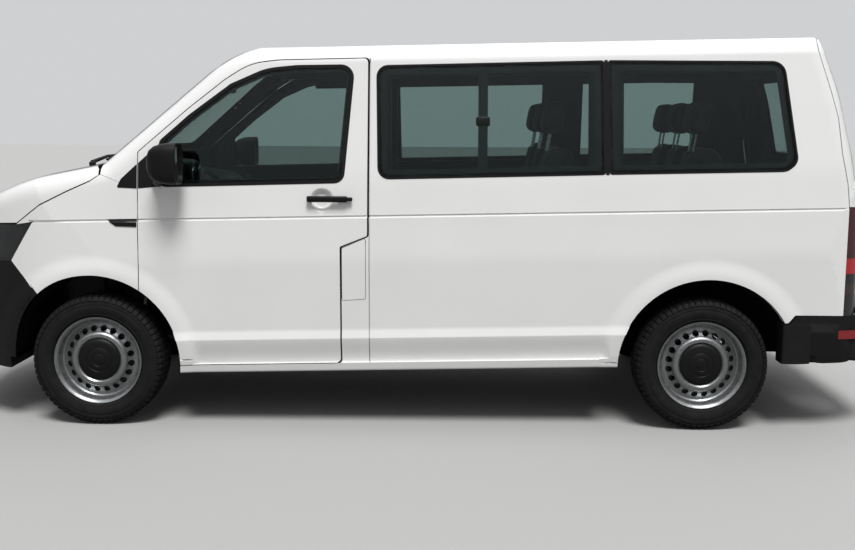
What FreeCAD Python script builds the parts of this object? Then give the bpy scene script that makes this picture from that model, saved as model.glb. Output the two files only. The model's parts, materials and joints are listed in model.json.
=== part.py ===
import FreeCAD, Part
import math
import os

# A short-wheelbase minibus with a steel unitary body, two hinged front doors, a sliding
# door on its right side, a lifting tailgate, three rows of seats and four steel wheels.
# Frame: +X forward, +Y to the vehicle's left, +Z up, origin on the ground under the middle
# of the overall length. Millimetres.

V = FreeCAD.Vector
os.makedirs("parts", exist_ok=True)

# Overall sizes
FRONT_OVERHANG = 908.0
WHEELBASE = 3000.0
REAR_OVERHANG = 996.0
LENGTH = FRONT_OVERHANG + WHEELBASE + REAR_OVERHANG
HALF_WIDTH = 940.0
ROOF_TOP = 1926.0
RAKE = 0.022
WALL = 60.0
GLASS = 6.0
GLASS_DEPTH = 4.0
GLASS_LAP = 14.0

# Clearances
PANEL_GAP = 5.0
DOOR_REAR_GAP = 8.0
SEAL_GAP = 14.0
DOOR_SILL_GAP = 26.0
SKIN = 20.0
RUNNING_GAP = 0.3
FIXED_GAP = 0.6
PANE_GAP = 0.8

# Places worked out from the overall sizes
NOSE = LENGTH / 2
TAIL = -LENGTH / 2
FRONT_AXLE = NOSE - FRONT_OVERHANG
REAR_AXLE = FRONT_AXLE - WHEELBASE
BODY_TAIL = TAIL + 150
SIDE_REACH = HALF_WIDTH + 200
HIGH = ROOF_TOP + 300

# Wheels, steering and arches
TYRE_RADIUS = 328.0
TYRE_WIDTH = 208.0
TYRE_BORE = 205.0
HALF_TRACK = 812.0
RIM_FLANGE = 219.0
RIM_SHEET = 9.0
RIM_OUT = 92.0
CAP_RADIUS = 104.0
VENT_CIRCLE = 157.0
VENT_RADIUS = 11.0
VENT_COUNT = 20
STUB_RADIUS = 30.0
HUB_RADIUS = 70.0
KINGPIN = 716.0
ARCH_RADIUS = 434.0
ARCH_FORWARD = 15.0
FLARE_WIDTH = 90.0
FLARE_STAND = 11.0
FRONT_FLARE_TILT = 1.2
LINER_WALL = 8.0
LINER_GAP = 6.0
LINER_INNER = 500.0
LINER_REAR_INNER = 640.0
LINER_RADIUS = ARCH_RADIUS - LINER_GAP
HUB_FACE = 20.0
BRAKE_RADIUS = 150.0
BALL_RADIUS = 20.0
ARM_END_Z = 222.0
BEAM_IN = 380.0
BEAM_OUT = 450.0
BEAM_Z = 455.0
TANK_FRONT = FRONT_AXLE - 684
PIPE_Y = -120.0
PIPE_Z = 372.0
PIPE_RADIUS = 28.0
SHELF = 765.0

# Heights on the body side at mid-length; they rise to the rear with the rake
BODY_LOW = 180.0
SILL_BOTTOM = 295.0
SILL_TOP = 338.0
LOWER_CREASE = 463.0
BELT = 1065.0
BELT_STEP = 7.0
GLASS_BOTTOM = 1241.0
GLASS_TOP = ROOF_TOP - 143
CANTRAIL = ROOF_TOP - 104
ROOF_EDGE = 748.0
FLOOR_TOP = 560.0
FLOOR_WALL = 50.0
SILL_INNER = HALF_WIDTH - 120
UNDERSIDE_TOP = 420.0
BUMPER_REAR = FRONT_AXLE + 156

# Lengthwise places of the side's upright gaps and of the lamps and bumpers
DOOR_FRONT = FRONT_AXLE - 231
DOOR_REAR = FRONT_AXLE - 1347
WINDOW_FRONT = FRONT_AXLE - 344
SLIDE_FRONT = DOOR_REAR - 10
MIRROR_INNER = 985.0
MIRROR_REACH = 1148.0
HINGE_HEIGHTS = (850.0, 1090.0)
PILLAR_FOOT = DOOR_REAR + 133
STEP_TOP = 964.0
STEP_LOW = 911.0
FLAP_GAP = 3.0
SLIDE_REAR = REAR_AXLE + 491
LAMP_FRONT = BODY_TAIL + 171
LAMP_TOP = 1114.0
LAMP_BOTTOM = 588.0
LAMP_INNER = 742.0
GATE_BOTTOM = 598.0
TAILGATE_TOP = BODY_TAIL + 325
BUMPER_TOP = 812.0
HEADLAMP_INNER = 430.0
LAMP_BACK = FRONT_AXLE + 294
LAMP_CORNER = 1020.0
LAMP_TIP = FRONT_AXLE + 424
LAMP_LOW = 823.0
ARCH_END = FRONT_AXLE + 289
WING_CORNER = 1176.0
INTAKE_HALF = 520.0
INTAKE_LOW = 376.0
INTAKE_HIGH = 520.0
INTAKE_BARS = 3
BAR_HALF = 6.0
GRILLE_LOW = 830.0
GRILLE_HIGH = 968.0
GRILLE_SLOTS = 3
PLATE_WIDTH = 530.0
PLATE_HEIGHT = 122.0
PLATE_LOW = 566.0
GATE_PLATE_LOW = 752.0
WING_INNER = 560.0

# Windscreen and bonnet are bowed about this upright line, the tailgate about the other
FRONT_BOW = NOSE - 3952
REAR_BOW = BODY_TAIL + 3802
BOW_ANGLE = 42.0
COWL_REAR = FRONT_AXLE - 244
COWL_FRONT = FRONT_AXLE + 94
SCREEN_BOTTOM = 1330.0
SCREEN_TOP = ROOF_TOP - 68

# Seats and steering wheel
FRONT_SEAT_X = FRONT_AXLE - 1114
SECOND_ROW_X = REAR_AXLE + 866
THIRD_ROW_X = REAR_AXLE + 106
SEAT_DEPTH = 470.0
SEAT_TOP = 350.0
DRIVER_Y = 390.0
ROW_SEAT = 470.0
ROW_PLACES = (490.0, 0.0, -490.0)
REAR_ROW_SEAT = 400.0
REAR_ROW_PLACES = (420.0, 0.0, -420.0)
STEERING_RADIUS = 190.0
WHEEL_TILT = 50.0
WHEEL_HUB = V(FRONT_AXLE - 559, DRIVER_Y, 1105.0)
WHEEL_AXIS = V(-math.sin(math.radians(WHEEL_TILT)), 0, math.cos(math.radians(WHEEL_TILT)))


def rake(x, height):
    """Height at x of a body line that is at the given height at mid-length."""
    return height - RAKE * x


def rounded(points):
    """Closed wire through (u, v, corner radius) points, with an arc at each corner."""
    n = len(points)
    corners = []
    for i in range(n):
        u, v, r = points[i]
        p = V(u, v, 0)
        before = V(points[i - 1][0], points[i - 1][1], 0) - p
        after = V(points[(i + 1) % n][0], points[(i + 1) % n][1], 0) - p
        angle = before.getAngle(after)
        if r <= 0 or angle > math.pi - 1e-3:
            corners.append((p, p, None))
            continue
        limit = 0.49 * min(before.Length, after.Length)
        reach = min(r / math.tan(angle / 2), limit)
        radius = reach * math.tan(angle / 2)
        before.normalize()
        after.normalize()
        middle = before + after
        middle.normalize()
        depth = radius / math.sin(angle / 2) - radius
        corners.append((p + before * reach, p + after * reach, p + middle * depth))
    edges = []
    for i in range(n):
        a, b, middle = corners[i]
        start = corners[i - 1][1]
        if (a - start).Length > 1e-6:
            edges.append(Part.LineSegment(start, a).toShape())
        if middle is not None:
            edges.append(Part.Arc(a, middle, b).toShape())
    return Part.Wire(edges)


def inward(points, inset):
    """The (u, v, radius) outline moved in by inset, each side parallel to itself."""
    n = len(points)
    area = sum(points[i - 1][0] * points[i][1] - points[i][0] * points[i - 1][1] for i in range(n))
    turn = math.copysign(1.0, area)
    sides = []
    for i in range(n):
        du = points[i][0] - points[i - 1][0]
        dv = points[i][1] - points[i - 1][1]
        length = math.hypot(du, dv)
        nu = -dv / length * turn
        nv = du / length * turn
        sides.append((nu, nv, nu * points[i][0] + nv * points[i][1] + inset))
    moved = []
    for i in range(n):
        u, v, r = points[i]
        a = sides[i]
        b = sides[(i + 1) % n]
        det = a[0] * b[1] - a[1] * b[0]
        if abs(det) < 1e-6:
            moved.append((u + a[0] * inset, v + a[1] * inset, 0))
            continue
        if r > 0:
            r = max(r - inset * math.copysign(1.0, det * turn), 0)
        u = (a[2] * b[1] - b[2] * a[1]) / det
        v = (a[0] * b[2] - b[0] * a[2]) / det
        moved.append((u, v, r))
    return moved


def flat(points, inset=0.0):
    """Face inside a rounded outline, pulled in by inset, or grown if that is negative."""
    return Part.Face(rounded(inward(points, inset) if inset else points))


def stand(face, plane, low, high):
    """Extrudes a face drawn in (x, z), (y, z) or (x, y) between two places on the third axis."""
    face = face.copy()
    if plane == "xz":
        face.rotate(V(0, 0, 0), V(1, 0, 0), 90)
        face.translate(V(0, low, 0))
        return face.extrude(V(0, high - low, 0))
    if plane == "yz":
        face.rotate(V(0, 0, 0), V(1, 1, 1), 120)
        face.translate(V(low, 0, 0))
        return face.extrude(V(high - low, 0, 0))
    face.translate(V(0, 0, low))
    return face.extrude(V(0, 0, high - low))


def prism(points, plane, low, high, inset=0.0):
    return stand(flat(points, inset), plane, low, high)


def side_prism(points, inner, inset=0.0):
    """Solid over an (x, z) outline on the left side, from inner outwards."""
    return prism(points, "xz", inner, SIDE_REACH, inset)


def cross_prism(points, inset=0.0):
    return prism(points, "xz", -SIDE_REACH, SIDE_REACH, inset)


def box(x, y, z):
    return Part.makeBox(x[1] - x[0], y[1] - y[0], z[1] - z[0], V(x[0], y[0], z[0]))


def rod(start, end, radius):
    start, end = V(*start), V(*end)
    return Part.makeCylinder(radius, (end - start).Length, start, end - start)


def across(x, z, radius, low, high):
    """Crosswise round bar between two places on Y."""
    return rod((x, low, z), (x, high, z), radius)


def mirrored(shape):
    return shape.mirror(V(0, 0, 0), V(0, 1, 0))


def spun(points, centre):
    """Solid of revolution about the crosswise line through centre; points are (radius, y)."""
    wire = Part.makePolygon([V(r, y, 0) for r, y in points + points[:1]])
    solid = Part.Face(wire).revolve(V(0, 0, 0), V(0, 1, 0), 360)
    solid.translate(V(*centre))
    return solid


def joined(*shapes):
    solid = shapes[0]
    if len(shapes) > 1:
        solid = solid.fuse(list(shapes[1:]))
    return solid.removeSplitter()


def save(name, *shapes):
    """Writes one piece, made of one or more solids, to its own file."""
    solids = [s for shape in shapes for s in shape.Solids]
    if not solids:
        raise ValueError("no solid in " + name)
    Part.makeCompound(solids).exportStep("parts/" + name + ".step")


# Body form: a raked section, a plan outline and bowed front and rear faces, intersected
def section_points(lining):
    """Cross-section at mid-length. Rows: half width, height, radius, kept on the lining."""
    rows = [
        (HALF_WIDTH - 35, SILL_BOTTOM, 12, True),
        (HALF_WIDTH - 22, SILL_TOP + 14, 0, False),
        (HALF_WIDTH - 4, LOWER_CREASE, 12, True),
        (HALF_WIDTH - 14, LOWER_CREASE + 42, 60, False),
        (HALF_WIDTH + 2, 850, 900, False),
        (HALF_WIDTH - 6, BELT - BELT_STEP, 0, True),
        (HALF_WIDTH - 13, BELT, 0, False),
        (HALF_WIDTH - 28, GLASS_BOTTOM, 1500, True),
        (HALF_WIDTH - 117, GLASS_TOP + 42, 92, True),
        (HALF_WIDTH - 162, ROOF_TOP - 40, 90, True),
    ]
    half = [(y, z, r) for y, z, r, kept in rows if kept or not lining]
    return half + [(0, ROOF_TOP, 7700)] + [(-y, z, r) for y, z, r in reversed(half)]


def plan_points():
    half = [
        (BODY_TAIL, 0, 0),
        (BODY_TAIL, HALF_WIDTH - 60, 150),
        (BODY_TAIL + 260, HALF_WIDTH + 12, 2500),
        (FRONT_AXLE - 250, HALF_WIDTH + 14, 3000),
        (NOSE - 560, HALF_WIDTH - 20, 900),
        (NOSE - 180, HALF_WIDTH - 235, 330),
        (NOSE + 5, 330, 900),
        (NOSE + 5, 0, 0),
    ]
    return half + [(x, -y, r) for x, y, r in reversed(half[1:-1])]


def front_points():
    """Outline of the nose, bonnet, windscreen and roof on the centre line."""
    return [
        (FRONT_BOW + 400, BODY_LOW, 0),
        (NOSE - 40, BODY_LOW, 0),
        (NOSE, 430, 200),
        (NOSE, 640, 80),
        (NOSE - 52, 985, 60),
        (NOSE - 150, 1082, 300),
        (FRONT_AXLE + 428, 1224, 900),
        (FRONT_AXLE + 70, SCREEN_BOTTOM - 32, 60),
        (FRONT_AXLE - 607, ROOF_TOP - 46, 620),
        (FRONT_AXLE - 1292, rake(FRONT_AXLE - 1292, ROOF_TOP), 3000),
        (FRONT_BOW + 400, HIGH, 0),
    ]


def rear_points():
    return [
        (REAR_BOW - 400, BODY_LOW, 0),
        (REAR_BOW - 400, HIGH, 0),
        (BODY_TAIL + 1000, HIGH, 0),
        (BODY_TAIL + 228, ROOF_TOP + 22, 70),
        (BODY_TAIL + 122, 1660, 900),
        (BODY_TAIL + 52, 1370, 900),
        (BODY_TAIL, 1080, 900),
        (BODY_TAIL, BODY_LOW, 0),
    ]


def bowed(points, centre, inset):
    """Solid swept by an (x, z) outline about an upright line."""
    face = flat(points, inset)
    face.rotate(V(0, 0, 0), V(1, 0, 0), 90)
    face.rotate(V(centre, 0, 0), V(0, 0, 1), -BOW_ANGLE)
    return face.revolve(V(centre, 0, 0), V(0, 0, 1), 2 * BOW_ANGLE)


def body_form(inset, lining=False):
    """Solid of the whole body pulled in by inset."""
    section = flat(section_points(lining), inset)
    section.rotate(V(0, 0, 0), V(1, 1, 1), 120)
    section.translate(V(-LENGTH, 0, RAKE * LENGTH))
    tube = section.extrude(V(2 * LENGTH, 0, -RAKE * 2 * LENGTH))
    hull = tube.common(prism(plan_points(), "xy", 0, HIGH, inset))
    wide = (-SIDE_REACH, SIDE_REACH)
    ahead = box((FRONT_AXLE - 1244, LENGTH), wide, (0, HIGH)).cut(bowed(front_points(), FRONT_BOW, inset))
    behind = box((-LENGTH, BODY_TAIL + 2002), wide, (0, HIGH)).cut(bowed(rear_points(), REAR_BOW, inset))
    return hull.cut(ahead).cut(behind)


def flare(x, tilt):
    """Raised lip round a wheel arch on the left, leaning in towards the front by tilt degrees."""
    crest = HALF_WIDTH + FLARE_STAND
    profile = [
        (ARCH_RADIUS - 4, HALF_WIDTH - WALL / 2),
        (ARCH_RADIUS - 4, crest),
        (ARCH_RADIUS + FLARE_WIDTH / 2, crest),
        (ARCH_RADIUS + FLARE_WIDTH, crest - 2 * FLARE_STAND),
        (ARCH_RADIUS + FLARE_WIDTH, HALF_WIDTH - WALL / 2),
    ]
    ring = spun(profile, (x, 0, TYRE_RADIUS))
    ring.rotate(V(x, HALF_WIDTH, TYRE_RADIUS), V(0, 0, 1), -tilt)
    return ring.common(box((-LENGTH, LENGTH), (0, SIDE_REACH), (SILL_TOP, HIGH)))


FRONT_FLARE = flare(FRONT_AXLE + ARCH_FORWARD, FRONT_FLARE_TILT)
REAR_FLARE = flare(REAR_AXLE - ARCH_FORWARD, 0.0)
OUTER = body_form(0.0).fuse([FRONT_FLARE, mirrored(FRONT_FLARE), REAR_FLARE, mirrored(REAR_FLARE)])
INNER = body_form(WALL, True)
GLASS_FACE = body_form(GLASS_DEPTH)
GLASS_BACK = body_form(GLASS_DEPTH + GLASS)
SKIN_BACK = body_form(SKIN)
UNDERSIDE = box((BODY_TAIL + WALL, BUMPER_REAR), (-SILL_INNER, SILL_INNER), (0, UNDERSIDE_TOP))
SHELL = OUTER.cut(INNER).cut(UNDERSIDE)
GLASS_REBATE = OUTER.cut(GLASS_BACK)


# Outlines on the side, as (x, z, corner radius) on the left side
def door_outline(grow):
    """The front door's edge, grown by grow, and by the wider rear gap when grown."""
    rear_grow = grow * DOOR_REAR_GAP / PANEL_GAP
    points = [
        (DOOR_REAR - rear_grow, STEP_TOP - grow, 12),
        (PILLAR_FOOT - rear_grow, STEP_LOW - grow, 12),
        (PILLAR_FOOT - rear_grow, rake(PILLAR_FOOT, SILL_TOP) - grow, 20),
        (DOOR_FRONT + grow, rake(DOOR_FRONT, SILL_TOP) - grow, 20),
        (DOOR_FRONT + grow, 1362 + grow * 0.5, 20),
        (DOOR_FRONT - 243 + grow * 0.75, ROOF_TOP - 355 + grow * 0.75, 0),
        (DOOR_FRONT - 421 + grow * 0.7, ROOF_TOP - 215 + grow * 0.75, 0),
        (DOOR_FRONT - 543 + grow * 0.4, ROOF_TOP - 137 + grow, 300),
        (DOOR_FRONT - 683, ROOF_TOP - 120 + grow, 300),
        (DOOR_REAR - rear_grow, rake(DOOR_REAR, CANTRAIL) + grow, 20),
    ]
    return points


DOOR_WINDOW = [
    (DOOR_REAR + 125, 1229, 40),
    (DOOR_REAR + 75, ROOF_TOP - 149, 50),
    (WINDOW_FRONT - 655, ROOF_TOP - 154, 300),
    (WINDOW_FRONT - 510, ROOF_TOP - 169, 300),
    (WINDOW_FRONT - 340, ROOF_TOP - 244, 0),
    (WINDOW_FRONT - 140, ROOF_TOP - 393, 0),
    (WINDOW_FRONT, 1410, 25),
    (WINDOW_FRONT, 1205, 25),
]
FRONT_SIDE_WINDOW = [
    (SLIDE_FRONT - 47, 1243, 50),
    (SLIDE_REAR + 14, 1271, 10),
    (SLIDE_REAR + 26, ROOF_TOP - 120, 10),
    (SLIDE_FRONT - 37, ROOF_TOP - 148, 50),
]
REAR_SIDE_WINDOW = [
    (SLIDE_REAR - 14, 1272, 10),
    (BODY_TAIL + 480, 1291, 60),
    (BODY_TAIL + 428, 1330, 60),
    (BODY_TAIL + 497, ROOF_TOP - 120, 60),
    (SLIDE_REAR - 2, ROOF_TOP - 119, 10),
]
SLIDE_DOOR = [
    (SLIDE_FRONT, rake(SLIDE_FRONT, SILL_TOP), 20),
    (SLIDE_FRONT, rake(SLIDE_FRONT, CANTRAIL), 20),
    (SLIDE_REAR, rake(SLIDE_REAR, CANTRAIL), 20),
    (SLIDE_REAR, 800, 150),
    (SLIDE_REAR + 110, 640, 150),
    (SLIDE_REAR + 110, rake(SLIDE_REAR, SILL_TOP), 20),
]
FLAP = [
    (PILLAR_FOOT - 8, 643, 10),
    (PILLAR_FOOT - 8, STEP_LOW - 6, 10),
    (DOOR_REAR + 6, STEP_TOP - 9, 10),
    (DOOR_REAR + 6, 651, 10),
]
SHUT_LINE = [
    (FRONT_AXLE - 44, 1258),
    (FRONT_AXLE + 4, 1222),
    (FRONT_AXLE + 125, 1167),
    (FRONT_AXLE + 256, 1102),
    (FRONT_AXLE + 383, 1009),
]
GATE_EDGE = [
    (TAILGATE_TOP, ROOF_TOP - 57),
    (BODY_TAIL + 275, ROOF_TOP - 219),
    (BODY_TAIL + 227, 1544),
    (BODY_TAIL + 212, 1374),
    (BODY_TAIL + 182, 1226),
    (LAMP_FRONT + 2, LAMP_TOP),
]


def shifted(points, dx, dz):
    return [(x + dx, z + dz, 0) for x, z in points]


def arch_cut(x, inner):
    """Crosswise cylinder that opens the wheel arches on both sides."""
    left = across(x, TYRE_RADIUS, ARCH_RADIUS, inner, SIDE_REACH)
    return left.fuse(mirrored(left))


def glazed(panel, outline, spread):
    """Opens a window in a panel with a rebate round it, and returns the panel and its pane."""
    hole = spread(outline, GLASS_LAP)
    rebate = spread(outline, 0.0).common(GLASS_REBATE)
    pane = spread(outline, PANE_GAP).common(GLASS_FACE).cut(GLASS_BACK)
    return panel.cut(hole).cut(rebate), pane


def side_spread(points, inset):
    return side_prism(points, 600, inset)


FRONT_ARCH = arch_cut(FRONT_AXLE + ARCH_FORWARD, 300)
REAR_ARCH = arch_cut(REAR_AXLE - ARCH_FORWARD, 300)
ARCHES = FRONT_ARCH.fuse(REAR_ARCH)
LEFT_ROOM = box((-LENGTH, LENGTH), (ROOF_EDGE, SIDE_REACH), (0, HIGH))
COWL_ROUND = Part.makeCylinder(COWL_FRONT - FRONT_BOW, HIGH, V(FRONT_BOW, 0, 0))
BONNET_ROUND = Part.makeCylinder(COWL_FRONT + PANEL_GAP - FRONT_BOW, HIGH, V(FRONT_BOW, 0, 0))
SCREEN = [
    (-792, SCREEN_BOTTOM, 70),
    (792, SCREEN_BOTTOM, 70),
    (696, SCREEN_TOP, 70),
    (-696, SCREEN_TOP, 70),
]
half_gap = PANEL_GAP / 2
AHEAD = NOSE + 148
BEHIND = TAIL - 148
GATE_HALF_GAP = half_gap + 0.2
SHUT_HALF_GAP = half_gap + 1.1
SHELL_OPEN = SHELL.cut(ARCHES)

# Outlines of the shell's pieces in side view
wing_points = (
    [(DOOR_FRONT + PANEL_GAP, BODY_LOW, 0), (DOOR_FRONT + PANEL_GAP, WING_CORNER, 0)]
    + shifted(SHUT_LINE, 0, -SHUT_HALF_GAP)
    + [(LAMP_BACK, LAMP_CORNER, 0), (LAMP_TIP, LAMP_LOW, 0)]
    + [(ARCH_END, 666, 0), (BUMPER_REAR, 600, 0), (BUMPER_REAR, BODY_LOW, 0)]
)
bonnet_points = (
    [(FRONT_AXLE - 144, HIGH, 0), (FRONT_AXLE - 144, 1262, 0)]
    + shifted(SHUT_LINE, 0, SHUT_HALF_GAP)
    + [(NOSE - 202, 996, 0), (AHEAD, 990, 0), (AHEAD, HIGH, 0)]
)
bumper_points = [
    (BUMPER_REAR + FIXED_GAP, 284, 0),
    (BUMPER_REAR + FIXED_GAP, 600 - FIXED_GAP, 0),
    (ARCH_END, 666 - FIXED_GAP, 0),
    (LAMP_TIP, LAMP_LOW - FIXED_GAP, 0),
    (AHEAD, BUMPER_TOP - FIXED_GAP, 0),
    (AHEAD, 274, 0),
]
lamp_points = [
    (LAMP_BACK + FIXED_GAP, LAMP_CORNER - FIXED_GAP, 0),
    (LAMP_TIP + FIXED_GAP, LAMP_LOW, 0),
    (AHEAD, BUMPER_TOP, 0),
    (AHEAD, 984, 0),
    (NOSE - 202, 990, 0),
    (FRONT_AXLE + 383, 1004, 0),
]
side_points = (
    [(DOOR_FRONT + PANEL_GAP, WING_CORNER + FIXED_GAP, 0)]
    + [(FRONT_AXLE - 44, 1256 + FIXED_GAP, 0), (FRONT_AXLE - 44, 1400, 0)]
    + [(FRONT_AXLE - 844, HIGH, 0), (TAILGATE_TOP + GATE_HALF_GAP, HIGH, 0)]
    + shifted(GATE_EDGE, GATE_HALF_GAP, 0)
    + [(LAMP_FRONT + PANEL_GAP, LAMP_TOP, 0), (LAMP_FRONT + PANEL_GAP, LAMP_BOTTOM, 0)]
    + [(BODY_TAIL + 410, LAMP_BOTTOM, 0), (BODY_TAIL + 442, 551 + FIXED_GAP, 0)]
    + [(BODY_TAIL + 502, 548 + FIXED_GAP, 0), (BODY_TAIL + 502, 200, 0), (DOOR_FRONT, 200, 0)]
)
gate_points = (
    [(TAILGATE_TOP - GATE_HALF_GAP, HIGH, 0)]
    + shifted(GATE_EDGE, -GATE_HALF_GAP, 0)[:-1]
    + [(LAMP_FRONT, LAMP_TOP + PANEL_GAP, 0), (BEHIND, LAMP_TOP + PANEL_GAP, 0), (BEHIND, HIGH, 0)]
)
gate_side = LAMP_INNER - half_gap
gate_low = box((BEHIND, LAMP_FRONT), (-gate_side, gate_side), (GATE_BOTTOM, LAMP_TOP + 10))


def make_sides():
    """Both side frames with pillars, cantrail, sill and rear quarter, and the left's windows."""
    region = side_prism(side_points, ROOF_EDGE)
    frame = SHELL_OPEN.common(region)
    frame = frame.cut(side_prism(door_outline(PANEL_GAP), 600))
    screen_hole = prism(SCREEN, "yz", 0, NOSE)
    frame = frame.cut(screen_hole)
    frame = frame.cut(box((WINDOW_FRONT - 20, NOSE), (ROOF_EDGE, 800), (0, SCREEN_BOTTOM)))
    left, pane_a = glazed(frame, FRONT_SIDE_WINDOW, side_spread)
    left, pane_b = glazed(left, REAR_SIDE_WINDOW, side_spread)
    left = left.cut(side_prism(FLAP, 600).common(OUTER.cut(SKIN_BACK)))
    flap = side_prism(FLAP, 600, FLAP_GAP).common(OUTER.cut(SKIN_BACK))
    groove_height = (rake(SLIDE_FRONT, SILL_TOP), rake(SLIDE_FRONT, CANTRAIL))
    groove = box((SLIDE_FRONT - 3, SLIDE_FRONT + 2), (600, SIDE_REACH), groove_height)
    left = left.cut(groove.common(OUTER.cut(SKIN_BACK)))
    right, pane_c = glazed(frame, REAR_SIDE_WINDOW, side_spread)
    slide_inner = ROOF_EDGE + RUNNING_GAP
    slide_hole = side_prism(SLIDE_DOOR, slide_inner, -PANEL_GAP)
    slide_door = SHELL_OPEN.common(side_prism(SLIDE_DOOR, slide_inner))
    bridge_room = box((SLIDE_REAR + 185, SLIDE_REAR + 265), (600, SIDE_REACH), (0, HIGH))
    bridge_room = bridge_room.fuse(box((SLIDE_FRONT - 127, SLIDE_FRONT - 47), (600, SIDE_REACH), (0, HIGH)))
    bridges = slide_hole.cut(side_prism(SLIDE_DOOR, slide_inner)).common(SHELL_OPEN.common(SKIN_BACK))
    bridges = bridges.common(bridge_room)
    right = right.cut(slide_hole)
    slide_door = joined(slide_door, *bridges.Solids)
    slide_door, pane_d = glazed(slide_door, FRONT_SIDE_WINDOW, side_spread)
    save("side_frame_left", left)
    save("side_frame_right", mirrored(right))
    save("sliding_door", mirrored(slide_door))
    save("side_windows", pane_a, pane_b, mirrored(pane_c), mirrored(pane_d))
    save("fuel_flap", flap)


def door_hinges():
    """Hinge leaves on the left wing that reach back to the front door's leading face."""
    leaves = []
    for z in HINGE_HEIGHTS:
        reach = (DOOR_FRONT + RUNNING_GAP, DOOR_FRONT + PANEL_GAP)
        room = box(reach, (ROOF_EDGE, SIDE_REACH), (z - 35, z + 35))
        leaves.append(SHELL_OPEN.common(SKIN_BACK).common(room))
    return leaves


def make_doors():
    outline = door_outline(0.0)
    skin = SHELL_OPEN.cut(SKIN_BACK).common(side_prism(outline, 600))
    back = SHELL_OPEN.common(SKIN_BACK).common(side_prism(outline, 600, SEAL_GAP))
    sill_room = box((0, DOOR_FRONT), (600, SILL_INNER + DOOR_SILL_GAP), (0, UNDERSIDE_TOP))
    door = joined(skin, back).cut(sill_room)
    door, pane = glazed(door, DOOR_WINDOW, side_spread)
    back = WINDOW_FRONT - 152
    front = WINDOW_FRONT + 16
    head = [(back, 1206, 30), (front - 50, 1206, 30), (front, 1270, 70), (front, 1360, 80), (back, 1422, 40)]
    low, high = 1200, 1430
    from_front = [
        (MIRROR_INNER, low + 50, 0),
        (MIRROR_INNER + 14, low + 20, 0),
        (MIRROR_INNER + 45, low, 0),
        (MIRROR_REACH - 55, low, 0),
        (MIRROR_REACH - 18, low + 24, 0),
        (MIRROR_REACH, low + 62, 0),
        (MIRROR_REACH, high - 72, 0),
        (MIRROR_REACH - 18, high - 30, 0),
        (MIRROR_REACH - 55, high, 0),
        (MIRROR_INNER + 45, high, 0),
        (MIRROR_INNER + 14, high - 24, 0),
        (MIRROR_INNER, high - 60, 0),
    ]
    from_above = [
        (back, MIRROR_INNER, 0),
        (front - 80, MIRROR_INNER, 0),
        (front - 35, MIRROR_INNER + 14, 0),
        (front, MIRROR_INNER + 50, 0),
        (front, MIRROR_REACH - 70, 0),
        (front - 30, MIRROR_REACH - 28, 0),
        (front - 90, MIRROR_REACH, 0),
        (back, MIRROR_REACH, 0),
    ]
    mirror_body = prism(head, "xz", MIRROR_INNER, MIRROR_REACH)
    mirror_body = mirror_body.common(prism(from_front, "yz", back, front))
    mirror_body = mirror_body.common(prism(from_above, "xy", 0, HIGH))
    arm_path = ((WINDOW_FRONT + 12, 850, 1236), (front - 50, MIRROR_INNER + 40, 1250))
    mirror_piece = joined(mirror_body, rod(*arm_path, 22)).cut(OUTER)
    for side, place in (("left", lambda s: s), ("right", mirrored)):
        save("door_" + side, place(door))
        save("door_glass_" + side, place(pane))
        save("mirror_" + side, place(mirror_piece))


def make_top():
    roof_room = box((-LENGTH, FRONT_AXLE - 144), (-ROOF_EDGE, ROOF_EDGE), (ROOF_TOP - 366, HIGH))
    roof = SHELL.common(roof_room).common(cross_prism(side_points))
    roof = roof.cut(prism(SCREEN, "yz", 0, NOSE))
    lug_reach = (TAILGATE_TOP - GATE_HALF_GAP + RUNNING_GAP, TAILGATE_TOP + GATE_HALF_GAP + 1)
    lug_room = box(lug_reach, (480, 560), (0, HIGH))
    lug = SHELL.common(SKIN_BACK).common(lug_room)
    save("roof_panel", joined(roof, lug, mirrored(lug)))
    pane = prism(SCREEN, "yz", 0, NOSE, PANE_GAP).common(GLASS_FACE).cut(GLASS_BACK)
    save("windscreen", pane)
    cowl_room = box((COWL_REAR, NOSE), (-800, 800), (1150, SCREEN_BOTTOM))
    cowl = SHELL.common(cowl_room).common(COWL_ROUND)
    hinge_reach = COWL_FRONT + PANEL_GAP - RUNNING_GAP - FRONT_BOW
    hinge_round = Part.makeCylinder(hinge_reach, HIGH, V(FRONT_BOW, 0, 0))
    hinge_room = box((COWL_REAR, NOSE), (640, 700), (0, HIGH))
    hinge = SHELL.common(SKIN_BACK).common(hinge_round).cut(COWL_ROUND).common(hinge_room)
    wing_room = side_prism(wing_points, WING_INNER, -FIXED_GAP)
    cowl = cowl.cut(wing_room).cut(mirrored(wing_room))
    save("cowl", joined(cowl, hinge, mirrored(hinge)))


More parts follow.
